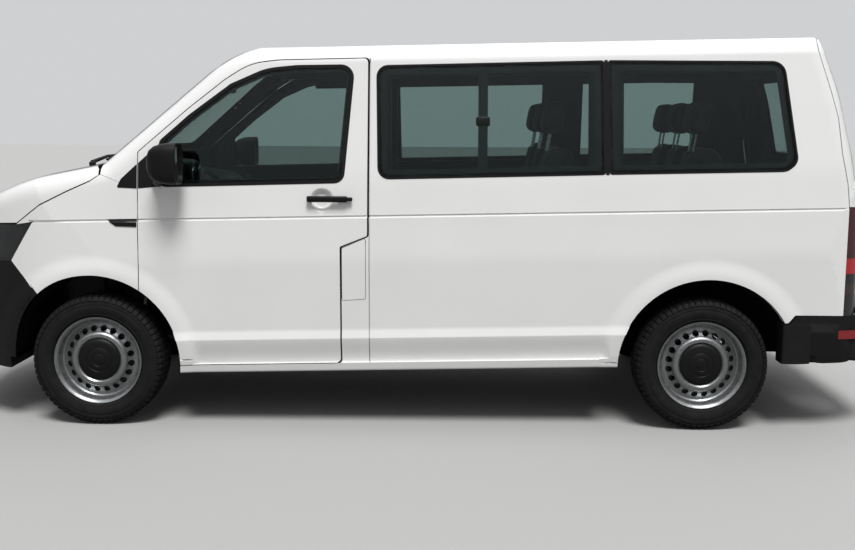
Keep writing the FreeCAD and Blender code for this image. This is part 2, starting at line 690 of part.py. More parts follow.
def make_front():
    wing = joined(SHELL_OPEN.common(side_prism(wing_points, WING_INNER)), *door_hinges())
    save("wings", wing, mirrored(wing))
    bonnet = SHELL.common(cross_prism(bonnet_points)).cut(BONNET_ROUND)
    save("bonnet", bonnet)
    bumper = SHELL_OPEN.common(cross_prism(bumper_points))
    mouth = [
        (-INTAKE_HALF, INTAKE_LOW, 25),
        (INTAKE_HALF, INTAKE_LOW, 25),
        (INTAKE_HALF - 45, INTAKE_HIGH, 25),
        (45 - INTAKE_HALF, INTAKE_HIGH, 25),
    ]
    mouth = prism(mouth, "yz", NOSE - 250, AHEAD)
    for i in range(INTAKE_BARS):
        z = INTAKE_LOW + (i + 1) * (INTAKE_HIGH - INTAKE_LOW) / (INTAKE_BARS + 1)
        mouth = mouth.cut(box((NOSE - 250, AHEAD), (-SIDE_REACH, SIDE_REACH), (z - BAR_HALF, z + BAR_HALF)))
    plate_half = PLATE_WIDTH / 2
    plate_room = box((NOSE - 14, AHEAD), (-plate_half, plate_half), (PLATE_LOW, PLATE_LOW + PLATE_HEIGHT))
    save("front_bumper", bumper.cut(mouth).cut(plate_room))
    lamps = SHELL_OPEN.common(cross_prism(lamp_points))
    middle = box((NOSE - 652, AHEAD), (-HEADLAMP_INNER, HEADLAMP_INNER), (0, HIGH))
    grille = lamps.common(middle)
    step = (GRILLE_HIGH - GRILLE_LOW) / GRILLE_SLOTS
    for i in range(GRILLE_SLOTS):
        z = GRILLE_LOW + i * step
        for side in (-1, 1):
            ends = sorted((side * BAR_HALF, side * (HEADLAMP_INNER - 25)))
            grille = grille.cut(box((NOSE - 250, AHEAD), ends, (z + BAR_HALF, z + step - BAR_HALF)))
    save("grille", grille)
    save("headlamps", lamps.cut(middle))


def make_rear():
    gate = SHELL.common(joined(cross_prism(gate_points), gate_low))
    plate_half = PLATE_WIDTH / 2 + 15
    plate_room = box((BEHIND, BODY_TAIL + 18), (-plate_half, plate_half), (GATE_PLATE_LOW, GATE_PLATE_LOW + 150))
    gate = gate.cut(plate_room)
    top = ROOF_TOP - 126
    hole = [(-600, 1300, 60), (600, 1300, 60), (560, top, 60), (-560, top, 60)]

    def rear_spread(points, inset):
        return prism(points, "yz", TAIL, BODY_TAIL + 402, inset)

    gate, pane = glazed(gate, hole, rear_spread)
    save("tailgate", gate)
    save("tailgate_glass", pane)
    lamp_edge = LAMP_FRONT + PANEL_GAP - FIXED_GAP
    lamp_room = box((BEHIND, lamp_edge), (LAMP_INNER + half_gap, SIDE_REACH), (LAMP_BOTTOM, LAMP_TOP))
    lamp = SHELL.common(lamp_room)
    save("tail_lamps", lamp, mirrored(lamp))
    plan = [
        (BODY_TAIL + 542, 0, 0),
        (BODY_TAIL + 542, HALF_WIDTH - 2, 0),
        (BODY_TAIL + 110, HALF_WIDTH - 14, 400),
        (TAIL + 20, HALF_WIDTH - 170, 160),
        (TAIL, 300, 2500),
        (TAIL, 0, 0),
    ]
    plan = plan + [(x, -y, r) for x, y, r in reversed(plan[1:-1])]
    top = LAMP_BOTTOM - FIXED_GAP
    side = [
        (BODY_TAIL + 502, 342, 0),
        (BODY_TAIL + 502, 548, 0),
        (BODY_TAIL + 442, 551, 0),
        (BODY_TAIL + 410, top, 0),
        (BEHIND, top, 0),
        (BEHIND, 372, 0),
    ]
    bumper = prism(plan, "xy", 0, HIGH).cut(prism(plan, "xy", 0, HIGH, WALL))
    bumper = bumper.cut(box((BODY_TAIL + 402, BODY_TAIL + 602), (-800, 800), (0, HIGH)))
    ledge_room = box((BEHIND, BODY_TAIL + 20), (-SIDE_REACH, SIDE_REACH), (0, HIGH))
    bumper = bumper.fuse(prism(plan, "xy", top - 55, top).common(ledge_room))
    bumper = bumper.common(cross_prism(side)).cut(REAR_ARCH)
    save("rear_bumper", bumper)


def wheel_set(x):
    """Tyre and steel wheel on the left at a place along the length."""
    centre = (x, HALF_TRACK, TYRE_RADIUS)
    half = TYRE_WIDTH / 2
    tread = [
        (TYRE_BORE + RUNNING_GAP, half - 24),
        (RIM_FLANGE + RUNNING_GAP, half - 22),
        (RIM_FLANGE + 6, half - 8),
        (RIM_FLANGE + 44, half),
        (TYRE_RADIUS - 28, half - 5),
        (TYRE_RADIUS - 6, half - 20),
        (TYRE_RADIUS, half - 42),
    ]
    tyre = spun(tread + [(r, -y) for r, y in reversed(tread)], centre)
    barrel = TYRE_BORE - RIM_SHEET
    profile = [
        (0, 48),
        (0, 74),
        (60, 73),
        (CAP_RADIUS - 10, 66),
        (CAP_RADIUS, 52),
        (CAP_RADIUS + 20, 68),
        (VENT_CIRCLE - 14, 60),
        (VENT_CIRCLE + 15, 40),
        (barrel - 8, 36),
        (barrel - 2, 60),
        (RIM_FLANGE - 20, RIM_OUT - 2),
        (RIM_FLANGE, RIM_OUT),
        (RIM_FLANGE, RIM_OUT - 8),
        (TYRE_BORE, RIM_OUT - 12),
        (TYRE_BORE, 12 - RIM_OUT),
        (RIM_FLANGE, 8 - RIM_OUT),
        (RIM_FLANGE, -RIM_OUT),
        (RIM_FLANGE - 20, 2 - RIM_OUT),
        (barrel, 20 - RIM_OUT),
        (barrel, 26),
        (barrel - 14, 27),
        (VENT_CIRCLE + 8, 30),
        (VENT_CIRCLE - 16, 48),
        (CAP_RADIUS + 16, 54),
        (CAP_RADIUS - 4, 38),
        (HUB_RADIUS, HUB_FACE),
        (STUB_RADIUS + RUNNING_GAP, HUB_FACE),
        (STUB_RADIUS + RUNNING_GAP, 48),
    ]
    rim = spun(profile, centre)
    vents = []
    for i in range(VENT_COUNT):
        angle = 2 * math.pi * i / VENT_COUNT
        u = x + VENT_CIRCLE * math.cos(angle)
        v = TYRE_RADIUS + VENT_CIRCLE * math.sin(angle)
        vents.append(across(u, v, VENT_RADIUS, HALF_TRACK + 20, HALF_TRACK + RIM_OUT))
    return tyre, rim.cut(Part.makeCompound(vents))


def make_wheels():
    for end, x in (("front", FRONT_AXLE), ("rear", REAR_AXLE)):
        tyre, rim = wheel_set(x)
        save("tyre_" + end + "_left", tyre)
        save("wheel_" + end + "_left", rim)
        save("tyre_" + end + "_right", mirrored(tyre))
        save("wheel_" + end + "_right", mirrored(rim))


def hub_carrier(x, inner):
    """Hub, stub and brake disc that carry the left wheel."""
    z = TYRE_RADIUS
    hub = across(x, z, HUB_RADIUS - 4, inner, HALF_TRACK + HUB_FACE - RUNNING_GAP)
    stub = across(x, z, STUB_RADIUS, inner, HALF_TRACK + 47)
    disc = across(x, z, BRAKE_RADIUS, HALF_TRACK - 50, HALF_TRACK - 22)
    return joined(hub, stub, disc)


def make_front_axle():
    x = FRONT_AXLE
    upright = box((x - 38, x + 38), (KINGPIN - 20, KINGPIN + 16), (ARM_END_Z + 26, TYRE_RADIUS + 120))
    ball = rod((x, KINGPIN, ARM_END_Z - 24), (x, KINGPIN, ARM_END_Z + 30), BALL_RADIUS)
    knuckle = joined(hub_carrier(x, KINGPIN - 16), upright, ball)
    save("knuckle_left", knuckle)
    save("knuckle_right", mirrored(knuckle))
    strut = rod((x, 612, 430), (x, 580, 780), 26)
    spring = rod((x, 596, 560), (x, 582, 730), 52)
    room = across(x + ARCH_FORWARD, TYRE_RADIUS, LINER_RADIUS - LINER_WALL - RUNNING_GAP, 400, 900)
    strut = joined(strut, spring).common(room)
    save("front_struts", strut, mirrored(strut))
    under_floor = FLOOR_TOP - FLOOR_WALL
    beam = box((x - 664, NOSE - 172), (BEAM_IN, BEAM_OUT), (under_floor - 70, under_floor))
    link_end = KINGPIN - BALL_RADIUS - RUNNING_GAP
    link = rod((x, link_end, ARM_END_Z), (x, link_end - 40, ARM_END_Z), 15)
    arm_a = rod((x, BEAM_OUT - 20, under_floor - 60), (x, link_end - 36, ARM_END_Z), 18)
    arm_b = rod((x - 230, BEAM_OUT - 20, under_floor - 60), (x, link_end - 36, ARM_END_Z), 18)
    side = joined(beam, arm_a, arm_b, link)
    front_cross = box((NOSE - 272, NOSE - 172), (-BEAM_IN, BEAM_IN), (under_floor - 70, under_floor))
    rear_cross = box((x - 280, x - 180), (-BEAM_IN, BEAM_IN), (under_floor - 70, under_floor - 10))
    save("front_subframe", joined(side, mirrored(side), front_cross, rear_cross))
    save("engine", box((x - 4, NOSE - 332), (20 - BEAM_OUT, BEAM_OUT - 20), (under_floor, 985)))


def make_rear_axle():
    x = REAR_AXLE
    under_floor = FLOOR_TOP - FLOOR_WALL
    beam_x = x + 420
    tube = across(beam_x, BEAM_Z, 36, -600, 600)
    bracket = box((beam_x - 20, beam_x + 20), (430, 480), (BEAM_Z, under_floor))
    arm = rod((beam_x, 540, BEAM_Z), (x, 640, TYRE_RADIUS), 30)
    axle = across(x, TYRE_RADIUS, 40, 600, KINGPIN)
    damper = rod((x - 60, 610, TYRE_RADIUS + 10), (x - 60, 560, under_floor), 28)
    plate = box((x - 100, x + 30), (585, 640), (TYRE_RADIUS - 20, TYRE_RADIUS + 20))
    foot = box((x - 100, x - 20), (530, 590), (under_floor - 20, under_floor))
    damper = damper.common(box((x - 200, x + 200), (400, 800), (0, under_floor)))
    side = joined(bracket, arm, axle, damper, plate, foot, hub_carrier(x, KINGPIN - 16))
    save("rear_axle", joined(tube, side, mirrored(side)))


def make_floor():
    under = FLOOR_TOP - FLOOR_WALL
    front = FRONT_AXLE - 144
    step = FRONT_AXLE - 464
    slab = box((BODY_TAIL + WALL + 10, step), (-SILL_INNER, SILL_INNER), (under, FLOOR_TOP))
    rail = box((REAR_AXLE + 446, step), (SILL_INNER - 40, SILL_INNER), (SILL_BOTTOM + 10, under))
    tunnel = box((step, front), (-LINER_INNER + 10, LINER_INNER - 10), (under, FLOOR_TOP))
    wall_low = box((front - 20, front), (-LINER_INNER + 10, LINER_INNER - 10), (FLOOR_TOP, SHELF))
    wall_high = box((front - 20, front), (-SILL_INNER, SILL_INNER), (SHELF, 1200))
    cheek = box((step - 20, front), (LINER_INNER - 10, LINER_INNER), (under, SHELF + 30))
    shelf = box((step - 20, front), (LINER_INNER - 10, SILL_INNER), (SHELF, SHELF + 30))
    riser = box((step - 20, step), (LINER_INNER - 10, SILL_INNER), (FLOOR_TOP, SHELF))
    floor = joined(slab, rail, mirrored(rail), tunnel, wall_low, wall_high, cheek, mirrored(cheek))
    floor = joined(floor, shelf, mirrored(shelf), riser, mirrored(riser))
    rear_room = across(REAR_AXLE - ARCH_FORWARD, TYRE_RADIUS, LINER_RADIUS, LINER_REAR_INNER, SIDE_REACH)
    front_room = across(FRONT_AXLE + ARCH_FORWARD, TYRE_RADIUS, LINER_RADIUS, LINER_INNER, SIDE_REACH)
    for room in (rear_room, mirrored(rear_room), front_room, mirrored(front_room)):
        floor = floor.cut(room)
    save("floor_pan", floor)


def liner(x, inner):
    """Upper half of a wheel arch lining on the left."""
    outside = across(x, TYRE_RADIUS, LINER_RADIUS, inner, SILL_INNER + 20)
    inside = across(x, TYRE_RADIUS, LINER_RADIUS - LINER_WALL, inner + LINER_WALL, SIDE_REACH)
    upper = box((x - 600, x + 600), (0, SIDE_REACH), (TYRE_RADIUS + 20, HIGH))
    return outside.cut(inside).common(upper)


def make_liners():
    front = liner(FRONT_AXLE + ARCH_FORWARD, LINER_INNER)
    hatch = box((FRONT_AXLE - 300, FRONT_AXLE + 300), (LINER_INNER - 5, LINER_INNER + 12), (0, 700))
    front = front.cut(hatch)
    rear = liner(REAR_AXLE - ARCH_FORWARD, LINER_REAR_INNER)
    notch = box((REAR_AXLE - 160, REAR_AXLE + 160), (LINER_REAR_INNER - 5, LINER_REAR_INNER + 12), (0, 500))
    rear = rear.cut(notch)
    save("arch_liners", front, mirrored(front), rear, mirrored(rear))


def make_underbody():
    under = FLOOR_TOP - FLOOR_WALL
    tank_rear = TANK_FRONT - 610
    tank = [(tank_rear, 330, 40), (TANK_FRONT, 330, 40), (TANK_FRONT, under, 0), (tank_rear, under, 0)]
    save("fuel_tank", prism(tank, "xz", 120, 640))
    knee_x = REAR_AXLE + 556
    box_x = BODY_TAIL + 252
    box_z = PIPE_Z + 58
    low, high = box_z - 60, under - 25
    muffler = [(box_x - 70, low, 50), (box_x + 70, low, 50), (box_x + 70, high, 50), (box_x - 70, high, 50)]
    muffler = prism(muffler, "xz", -560, 40)
    front_pipe = rod((FRONT_AXLE - 144, PIPE_Y, PIPE_Z), (knee_x, PIPE_Y, PIPE_Z), PIPE_RADIUS)
    rear_pipe = rod((knee_x, PIPE_Y, PIPE_Z), (box_x, PIPE_Y, box_z), PIPE_RADIUS)
    knee = Part.makeSphere(PIPE_RADIUS, V(knee_x, PIPE_Y, PIPE_Z))
    tail_pipe = rod((box_x, -480, box_z), (box_x - 280, -480, box_z - 20), PIPE_RADIUS - 2)
    hangers = []
    for x in (FRONT_AXLE - 944, REAR_AXLE + 856, box_x):
        hangers.append(box((x - 15, x + 15), (PIPE_Y - 15, PIPE_Y + 15), (PIPE_Z, under)))
    save("exhaust", joined(front_pipe, knee, rear_pipe, muffler, tail_pipe, *hangers))


def seat(x, y, width):
    """One seat with its base, cushion, back and head restraint, joined as one form."""
    z = FLOOR_TOP
    base = box((x - 20, x + 400), (y - width / 2 + 40, y + width / 2 - 40), (z, z + 250))
    cushion = [(-60, 240, 30), (SEAT_DEPTH, 262, 50), (SEAT_DEPTH, SEAT_TOP, 50), (-20, SEAT_TOP - 20, 20)]
    back = [(-90, 240, 30), (60, 300, 30), (-55, 860, 40), (-165, 860, 50)]
    head = [(-90, 885, 30), (-175, 890, 40), (-165, 1070, 40), (-85, 1065, 35)]
    low, high = y - width / 2, y + width / 2
    forms = [base]
    forms.append(prism([(x + u, z + v, r) for u, v, r in cushion], "xz", low, high))
    forms.append(prism([(x + u, z + v, r) for u, v, r in back], "xz", low, high))
    forms.append(prism([(x + u, z + v, r) for u, v, r in head], "xz", y - 135, y + 135))
    forms.append(box((x - 135, x - 115), (y - 60, y - 45), (z + 840, z + 900)))
    forms.append(box((x - 135, x - 115), (y + 45, y + 60), (z + 840, z + 900)))
    return joined(*forms)


def make_cabin():
    save("front_seats", seat(FRONT_SEAT_X, DRIVER_Y, 500), seat(FRONT_SEAT_X, -DRIVER_Y, 500))
    save("second_row_seats", *[seat(SECOND_ROW_X, y, ROW_SEAT) for y in ROW_PLACES])
    save("third_row_seats", *[seat(THIRD_ROW_X, y, REAR_ROW_SEAT) for y in REAR_ROW_PLACES])
    wall = FRONT_AXLE - 164
    dash = [
        (wall, 900, 0),
        (wall, 1226, 0),
        (wall - 200, 1196, 80),
        (wall - 320, 1120, 40),
        (wall - 305, 960, 60),
        (wall - 180, 900, 60),
    ]
    column_end = WHEEL_HUB - WHEEL_AXIS * (26 + RUNNING_GAP)
    column = rod(tuple(column_end), tuple(WHEEL_HUB - WHEEL_AXIS * 260), 36)
    board = prism(dash, "xz", -790, 790)
    save("dashboard", joined(board, column))
    ring = Part.makeTorus(STEERING_RADIUS, 15, WHEEL_HUB, WHEEL_AXIS)
    hub = Part.makeCylinder(62, 34, WHEEL_HUB - WHEEL_AXIS * 26, WHEEL_AXIS)
    spokes = []
    for turn in (0, 180, 270):
        spoke = box((-STEERING_RADIUS, -40), (-20, 20), (-9, 7))
        spoke.rotate(V(0, 0, 0), V(0, 0, 1), turn + 90)
        spoke.rotate(V(0, 0, 0), V(0, 1, 0), -WHEEL_TILT)
        spoke.translate(WHEEL_HUB)
        spokes.append(spoke)
    save("steering_wheel", joined(hub, ring, *spokes))


make_sides()
make_doors()
make_top()
make_front()
make_rear()
make_wheels()
make_front_axle()
make_rear_axle()
make_floor()
make_liners()
make_underbody()
make_cabin()
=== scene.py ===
import bmesh
import bpy
import json
import math
import numpy as np
from mathutils import Matrix, Vector
from mathutils.bvhtree import BVHTree

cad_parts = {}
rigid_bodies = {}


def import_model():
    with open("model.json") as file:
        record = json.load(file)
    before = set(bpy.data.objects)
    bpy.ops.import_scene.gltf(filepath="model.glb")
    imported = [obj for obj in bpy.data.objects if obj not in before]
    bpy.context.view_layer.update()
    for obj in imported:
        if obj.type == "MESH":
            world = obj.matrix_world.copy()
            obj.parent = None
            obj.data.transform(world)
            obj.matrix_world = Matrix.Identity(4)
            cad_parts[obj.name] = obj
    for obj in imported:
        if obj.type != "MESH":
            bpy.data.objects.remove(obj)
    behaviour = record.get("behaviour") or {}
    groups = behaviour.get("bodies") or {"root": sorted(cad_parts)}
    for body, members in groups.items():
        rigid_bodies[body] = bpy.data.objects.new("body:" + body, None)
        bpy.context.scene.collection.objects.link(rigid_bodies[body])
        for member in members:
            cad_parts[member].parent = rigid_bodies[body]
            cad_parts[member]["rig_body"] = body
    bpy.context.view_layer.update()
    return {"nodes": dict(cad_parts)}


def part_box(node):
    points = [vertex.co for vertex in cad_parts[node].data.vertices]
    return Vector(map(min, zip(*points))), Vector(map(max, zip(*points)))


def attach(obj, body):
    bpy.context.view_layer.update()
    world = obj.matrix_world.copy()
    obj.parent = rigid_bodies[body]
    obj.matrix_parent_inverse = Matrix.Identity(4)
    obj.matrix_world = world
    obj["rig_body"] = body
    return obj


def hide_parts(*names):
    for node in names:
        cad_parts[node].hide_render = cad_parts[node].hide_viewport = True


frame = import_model()

# The studio: an even pale floor and sky, one broad key light from high on the left and a weaker
# one from behind. The camera stands where the photograph was taken, square to the left side.
FOCAL_PIXELS = 1089.67
PHOTO_WIDTH = 855
CAMERA_PLACE = Vector((-0.182, 6.195, 1.516))
CAMERA_YAW = -0.01595
CAMERA_PITCH = -0.13996
CAMERA_ROLL = 0.0053
FLOOR_COLOUR = (0.44, 0.44, 0.43, 1)
FLOOR_BOUNCE = (0.20, 0.20, 0.195, 1)
SKY_COLOUR = (0.62, 0.63, 0.64, 1)
SKY_LIGHT = 0.42
SKY_MIRRORED = ((0.0, 0.05), (0.25, 0.16), (0.60, 0.85))

right, up, ahead = Vector((-1, 0, 0)), Vector((0, 0, 1)), Vector((0, -1, 0))
turned = ahead * math.cos(CAMERA_YAW) + right * math.sin(CAMERA_YAW)
right = right * math.cos(CAMERA_YAW) - ahead * math.sin(CAMERA_YAW)
tipped = turned * math.cos(CAMERA_PITCH) + up * math.sin(CAMERA_PITCH)
up = up * math.cos(CAMERA_PITCH) - turned * math.sin(CAMERA_PITCH)
rolled = right * math.cos(CAMERA_ROLL) + up * math.sin(CAMERA_ROLL)
up = up * math.cos(CAMERA_ROLL) - right * math.sin(CAMERA_ROLL)
camera = bpy.data.objects.new("camera", bpy.data.cameras.new("camera"))
camera.data.sensor_width = 36
camera.data.lens = FOCAL_PIXELS / PHOTO_WIDTH * camera.data.sensor_width
camera.data.clip_end = 200
camera.matrix_world = Matrix.Translation(CAMERA_PLACE) @ Matrix((rolled, up, -tipped)).transposed().to_4x4()
bpy.context.scene.collection.objects.link(camera)
bpy.context.scene.camera = camera
bpy.context.scene.view_settings.view_transform = "Standard"


def new_material(name, colour, roughness, metallic=0.0, **sockets):
    """A material with one Principled shader, whose sockets are set by their names."""
    material = bpy.data.materials.new(name)
    material.use_nodes = True
    shader = material.node_tree.nodes["Principled BSDF"]
    shader.inputs["Base Color"].default_value = (*colour[:3], 1)
    shader.inputs["Roughness"].default_value = roughness
    shader.inputs["Metallic"].default_value = metallic
    for socket, value in sockets.items():
        shader.inputs[socket.replace("_", " ").title().replace("Ior", "IOR")].default_value = value
    return material


NOISE_SPAN = (0.35, 0.65)


def noise(material, scale, detail, stretch):
    """A noise texture on the piece's own Object coordinates."""
    tree = material.node_tree
    place = tree.nodes.new("ShaderNodeTexCoord")
    mapping = tree.nodes.new("ShaderNodeMapping")
    mapping.inputs["Scale"].default_value = stretch
    texture = tree.nodes.new("ShaderNodeTexNoise")
    texture.inputs["Scale"].default_value = scale
    texture.inputs["Detail"].default_value = detail
    tree.links.new(place.outputs["Object"], mapping.inputs["Vector"])
    tree.links.new(mapping.outputs["Vector"], texture.inputs["Vector"])
    return texture


def bumpy(material, scale, strength, distance, detail=3.0, stretch=(1, 1, 1)):
    """Raises the surface by a noise texture."""
    tree = material.node_tree
    texture = noise(material, scale, detail, stretch)
    bump = tree.nodes.new("ShaderNodeBump")
    bump.inputs["Strength"].default_value = strength
    bump.inputs["Distance"].default_value = distance
    tree.links.new(texture.outputs[0], bump.inputs["Height"])
    tree.links.new(bump.outputs["Normal"], tree.nodes["Principled BSDF"].inputs["Normal"])


def varied(material, socket, scale, low, high, detail=3.0, stretch=(1, 1, 1)):
    """Drives a shader socket between two colours or two grey values by a noise texture."""
    tree = material.node_tree
    texture = noise(material, scale, detail, stretch)
    ramp = tree.nodes.new("ShaderNodeValToRGB")
    for element, place, value in zip(ramp.color_ramp.elements, NOISE_SPAN, (low, high)):
        element.position = place
        element.color = (*value[:3], 1) if isinstance(value, tuple) else (value, value, value, 1)
    tree.links.new(texture.outputs[0], ramp.inputs["Fac"])
    tree.links.new(ramp.outputs["Color"], tree.nodes["Principled BSDF"].inputs[socket])


world = bpy.data.worlds.new("studio")
bpy.context.scene.world = world
world.use_nodes = True
nodes, join = world.node_tree.nodes, world.node_tree.links.new
sky = nodes["Background"]
rays = nodes.new("ShaderNodeLightPath")
either = nodes.new("ShaderNodeMath")
either.operation = "MAXIMUM"
join(rays.outputs["Is Camera Ray"], either.inputs[0])
join(rays.outputs["Is Transmission Ray"], either.inputs[1])
sky_mix = nodes.new("ShaderNodeMix")
sky_mix.data_type = "RGBA"
sky_mix.inputs["A"].default_value = (SKY_LIGHT, SKY_LIGHT, SKY_LIGHT * 1.03, 1)
sky_mix.inputs["B"].default_value = SKY_COLOUR
join(either.outputs[0], sky_mix.inputs["Factor"])
direction = nodes.new("ShaderNodeTexCoord")
height = nodes.new("ShaderNodeSeparateXYZ")
mirrored_sky = nodes.new("ShaderNodeValToRGB")
mirrored_sky.color_ramp.elements.new(SKY_MIRRORED[1][0])
for element, (place, grey) in zip(mirrored_sky.color_ramp.elements, SKY_MIRRORED):
    element.position = place
    element.color = (grey, grey, grey * 1.05, 1)
mirror_mix = nodes.new("ShaderNodeMix")
mirror_mix.data_type = "RGBA"
join(direction.outputs["Generated"], height.inputs[0])
join(height.outputs["Z"], mirrored_sky.inputs["Fac"])
mirrored = nodes.new("ShaderNodeMath")
mirrored.operation = "SUBTRACT"
mirrored.use_clamp = True
join(rays.outputs["Is Glossy Ray"], mirrored.inputs[0])
join(rays.outputs["Is Transmission Ray"], mirrored.inputs[1])
join(mirrored.outputs[0], mirror_mix.inputs["Factor"])
join(sky_mix.outputs["Result"], mirror_mix.inputs["A"])
join(mirrored_sky.outputs["Color"], mirror_mix.inputs["B"])
join(mirror_mix.outputs["Result"], sky.inputs["Color"])

for name, energy, angle, aim in (
    ("key_light", 2.9, 22, (0.10, -0.50, -0.87)),
    ("back_light", 0.50, 50, (0.45, 1.0, -0.9)),
):
    lamp = bpy.data.objects.new(name, bpy.data.lights.new(name, "SUN"))
    lamp.data.energy = energy
    lamp.data.angle = math.radians(angle)
    lamp.matrix_world = Vector(aim).to_track_quat("-Z", "Y").to_matrix().to_4x4()
    bpy.context.scene.collection.objects.link(lamp)

floor_mesh = bpy.data.meshes.new("floor")
FLOOR_HALF = 60.0
corners = [(sx * FLOOR_HALF, sy * FLOOR_HALF, 0) for sx, sy in ((-1, -1), (1, -1), (1, 1), (-1, 1))]
floor_mesh.from_pydata(corners, [], [(0, 1, 2, 3)])
floor_paint = new_material("floor", FLOOR_COLOUR, 0.9)
floor_mix = floor_paint.node_tree.nodes.new("ShaderNodeMix")
floor_rays = floor_paint.node_tree.nodes.new("ShaderNodeLightPath")
floor_mix.data_type = "RGBA"
floor_mix.inputs["A"].default_value = FLOOR_BOUNCE
floor_mix.inputs["B"].default_value = FLOOR_COLOUR
floor_paint.node_tree.links.new(floor_rays.outputs["Is Camera Ray"], floor_mix.inputs["Factor"])
floor_shader = floor_paint.node_tree.nodes["Principled BSDF"]
floor_paint.node_tree.links.new(floor_mix.outputs["Result"], floor_shader.inputs["Base Color"])
floor_mesh.materials.append(floor_paint)
floor = bpy.data.objects.new("floor", floor_mesh)
bpy.context.scene.collection.objects.link(floor)

# The body's skin: pressed steel panels in gloss white. Their surface is one raked section
# trimmed by a plan outline and by faces bowed across the nose, the windscreen and the tail.
NOSE = 2.452
TAIL = -2.452
HALF_WIDTH = 0.940
ROOF_TOP = 1.926
RAKE = 0.022
BODY_TAIL = TAIL + 0.150
FRONT_AXLE = NOSE - 0.908
REAR_AXLE = FRONT_AXLE - 3.0
TYRE_RADIUS = 0.328
ARCH_RADIUS = 0.434
ARCH_FORWARD = 0.015
BELT = 1.0615
FRONT_BOW = -1.5
REAR_BOW = 1.5
BOW_START = -0.9
HIGH = ROOF_TOP + 0.3
GLASS_DEPTH = 0.004
GLASS_THICK = 0.006
EDGE_BLEND = 0.11
FLARE_WIDTH = 0.090
FLARE_STAND = 0.011
FLARE_HEIGHT = 0.013
ARCHES = ((FRONT_AXLE + ARCH_FORWARD, math.radians(1.2)), (REAR_AXLE - ARCH_FORWARD, 0.0))
WALL = 0.060
GROOVE_DEPTH = 0.010
GROOVE_HALF = 0.0075
GROOVE_WALL = 0.003
HANDLES = (((0.418, 1.137), 1), ((0.418, 1.137), -1), ((0.060, 1.150), -1))
BOWL_RADIUS = 0.058
BOWL_DEPTH = 0.024
GRID = 0.03
SILL_LINE = 0.3385
SILL_CREASE = 0.470
SILL_STAND = 0.006
SILL_TUCK = 0.011
TUCK_HEIGHT = 0.11
TUCK_REAR, TUCK_FRONT, TUCK_FADE = -1.00, 1.07, 0.04
GROOVE_REAR, GROOVE_FRONT = -2.10, 1.85
SLOPE_STEP = 0.002
DOOR_WINDOW = [
    (0.322, 1.229, 0.040),
    (0.272, 1.777, 0.050),
    (0.545, 1.772, 0.300),
    (0.690, 1.757, 0.300),
    (0.860, 1.682, 0),
    (1.060, 1.533, 0),
    (1.200, 1.410, 0.025),
    (1.200, 1.205, 0.025),
]
FRONT_WINDOW = [
    (0.140, 1.243, 0.050),
    (-0.951, 1.271, 0.010),
    (-0.939, 1.806, 0.010),
    (0.150, 1.778, 0.050),
]
REAR_WINDOW = [
    (-0.979, 1.272, 0.010),
    (-1.822, 1.291, 0.060),
    (-1.874, 1.330, 0.060),
    (-1.805, 1.806, 0.060),
    (-0.967, 1.807, 0.010),
]
TAIL_WINDOW = [(-0.600, 1.300, 0.060), (0.600, 1.300, 0.060), (0.560, 1.800, 0.060), (-0.560, 1.800, 0.060)]
WIND_SCREEN = [(-0.792, 1.330, 0.070), (0.792, 1.330, 0.070), (0.696, 1.858, 0.070), (-0.696, 1.858, 0.070)]
WINDOWS = (
    (DOOR_WINDOW, 1, 1, 0.6),
    (FRONT_WINDOW, 1, 1, 0.6),
    (REAR_WINDOW, 1, 1, 0.6),
    (TAIL_WINDOW, 0, -1, 1.8),
    (WIND_SCREEN, 0, 1, 0.8),
)


def rounded(rows, arc_steps=8, side_steps=1):
    """Points of a closed outline through (u, v, corner radius) rows, with an arc at each corner."""
    points = []
    for i, (u, v, radius) in enumerate(rows):
        corner = Vector((u, v))
        before = Vector(rows[i - 1][:2]) - corner
        after = Vector(rows[(i + 1) % len(rows)][:2]) - corner
        angle = before.angle(after)
        if radius <= 0 or angle > math.pi - 0.001:
            arc = [corner] * (arc_steps + 1 if side_steps > 1 else 1)
        else:
            reach = min(radius / math.tan(angle / 2), 0.49 * min(before.length, after.length))
            start = corner + before.normalized() * reach
            middle = (before.normalized() + after.normalized()).normalized()
            centre = corner + middle * reach / math.cos(angle / 2)
            sweep = math.copysign(math.pi - angle, -before.cross(after))
            turns = [Matrix.Rotation(sweep * k / arc_steps, 2) for k in range(arc_steps + 1)]
            arc = [centre + turn @ (start - centre) for turn in turns]
        if points and side_steps > 1:
            points += [points[-1].lerp(arc[0], k / side_steps) for k in range(1, side_steps)]
        points += arc
    if side_steps > 1:
        points += [points[-1].lerp(points[0], k / side_steps) for k in range(1, side_steps)]
    return np.array([tuple(p) for p in points])


def full_width(half):
    return half + [(-y, z, r) for y, z, r in reversed(half) if y > 0]


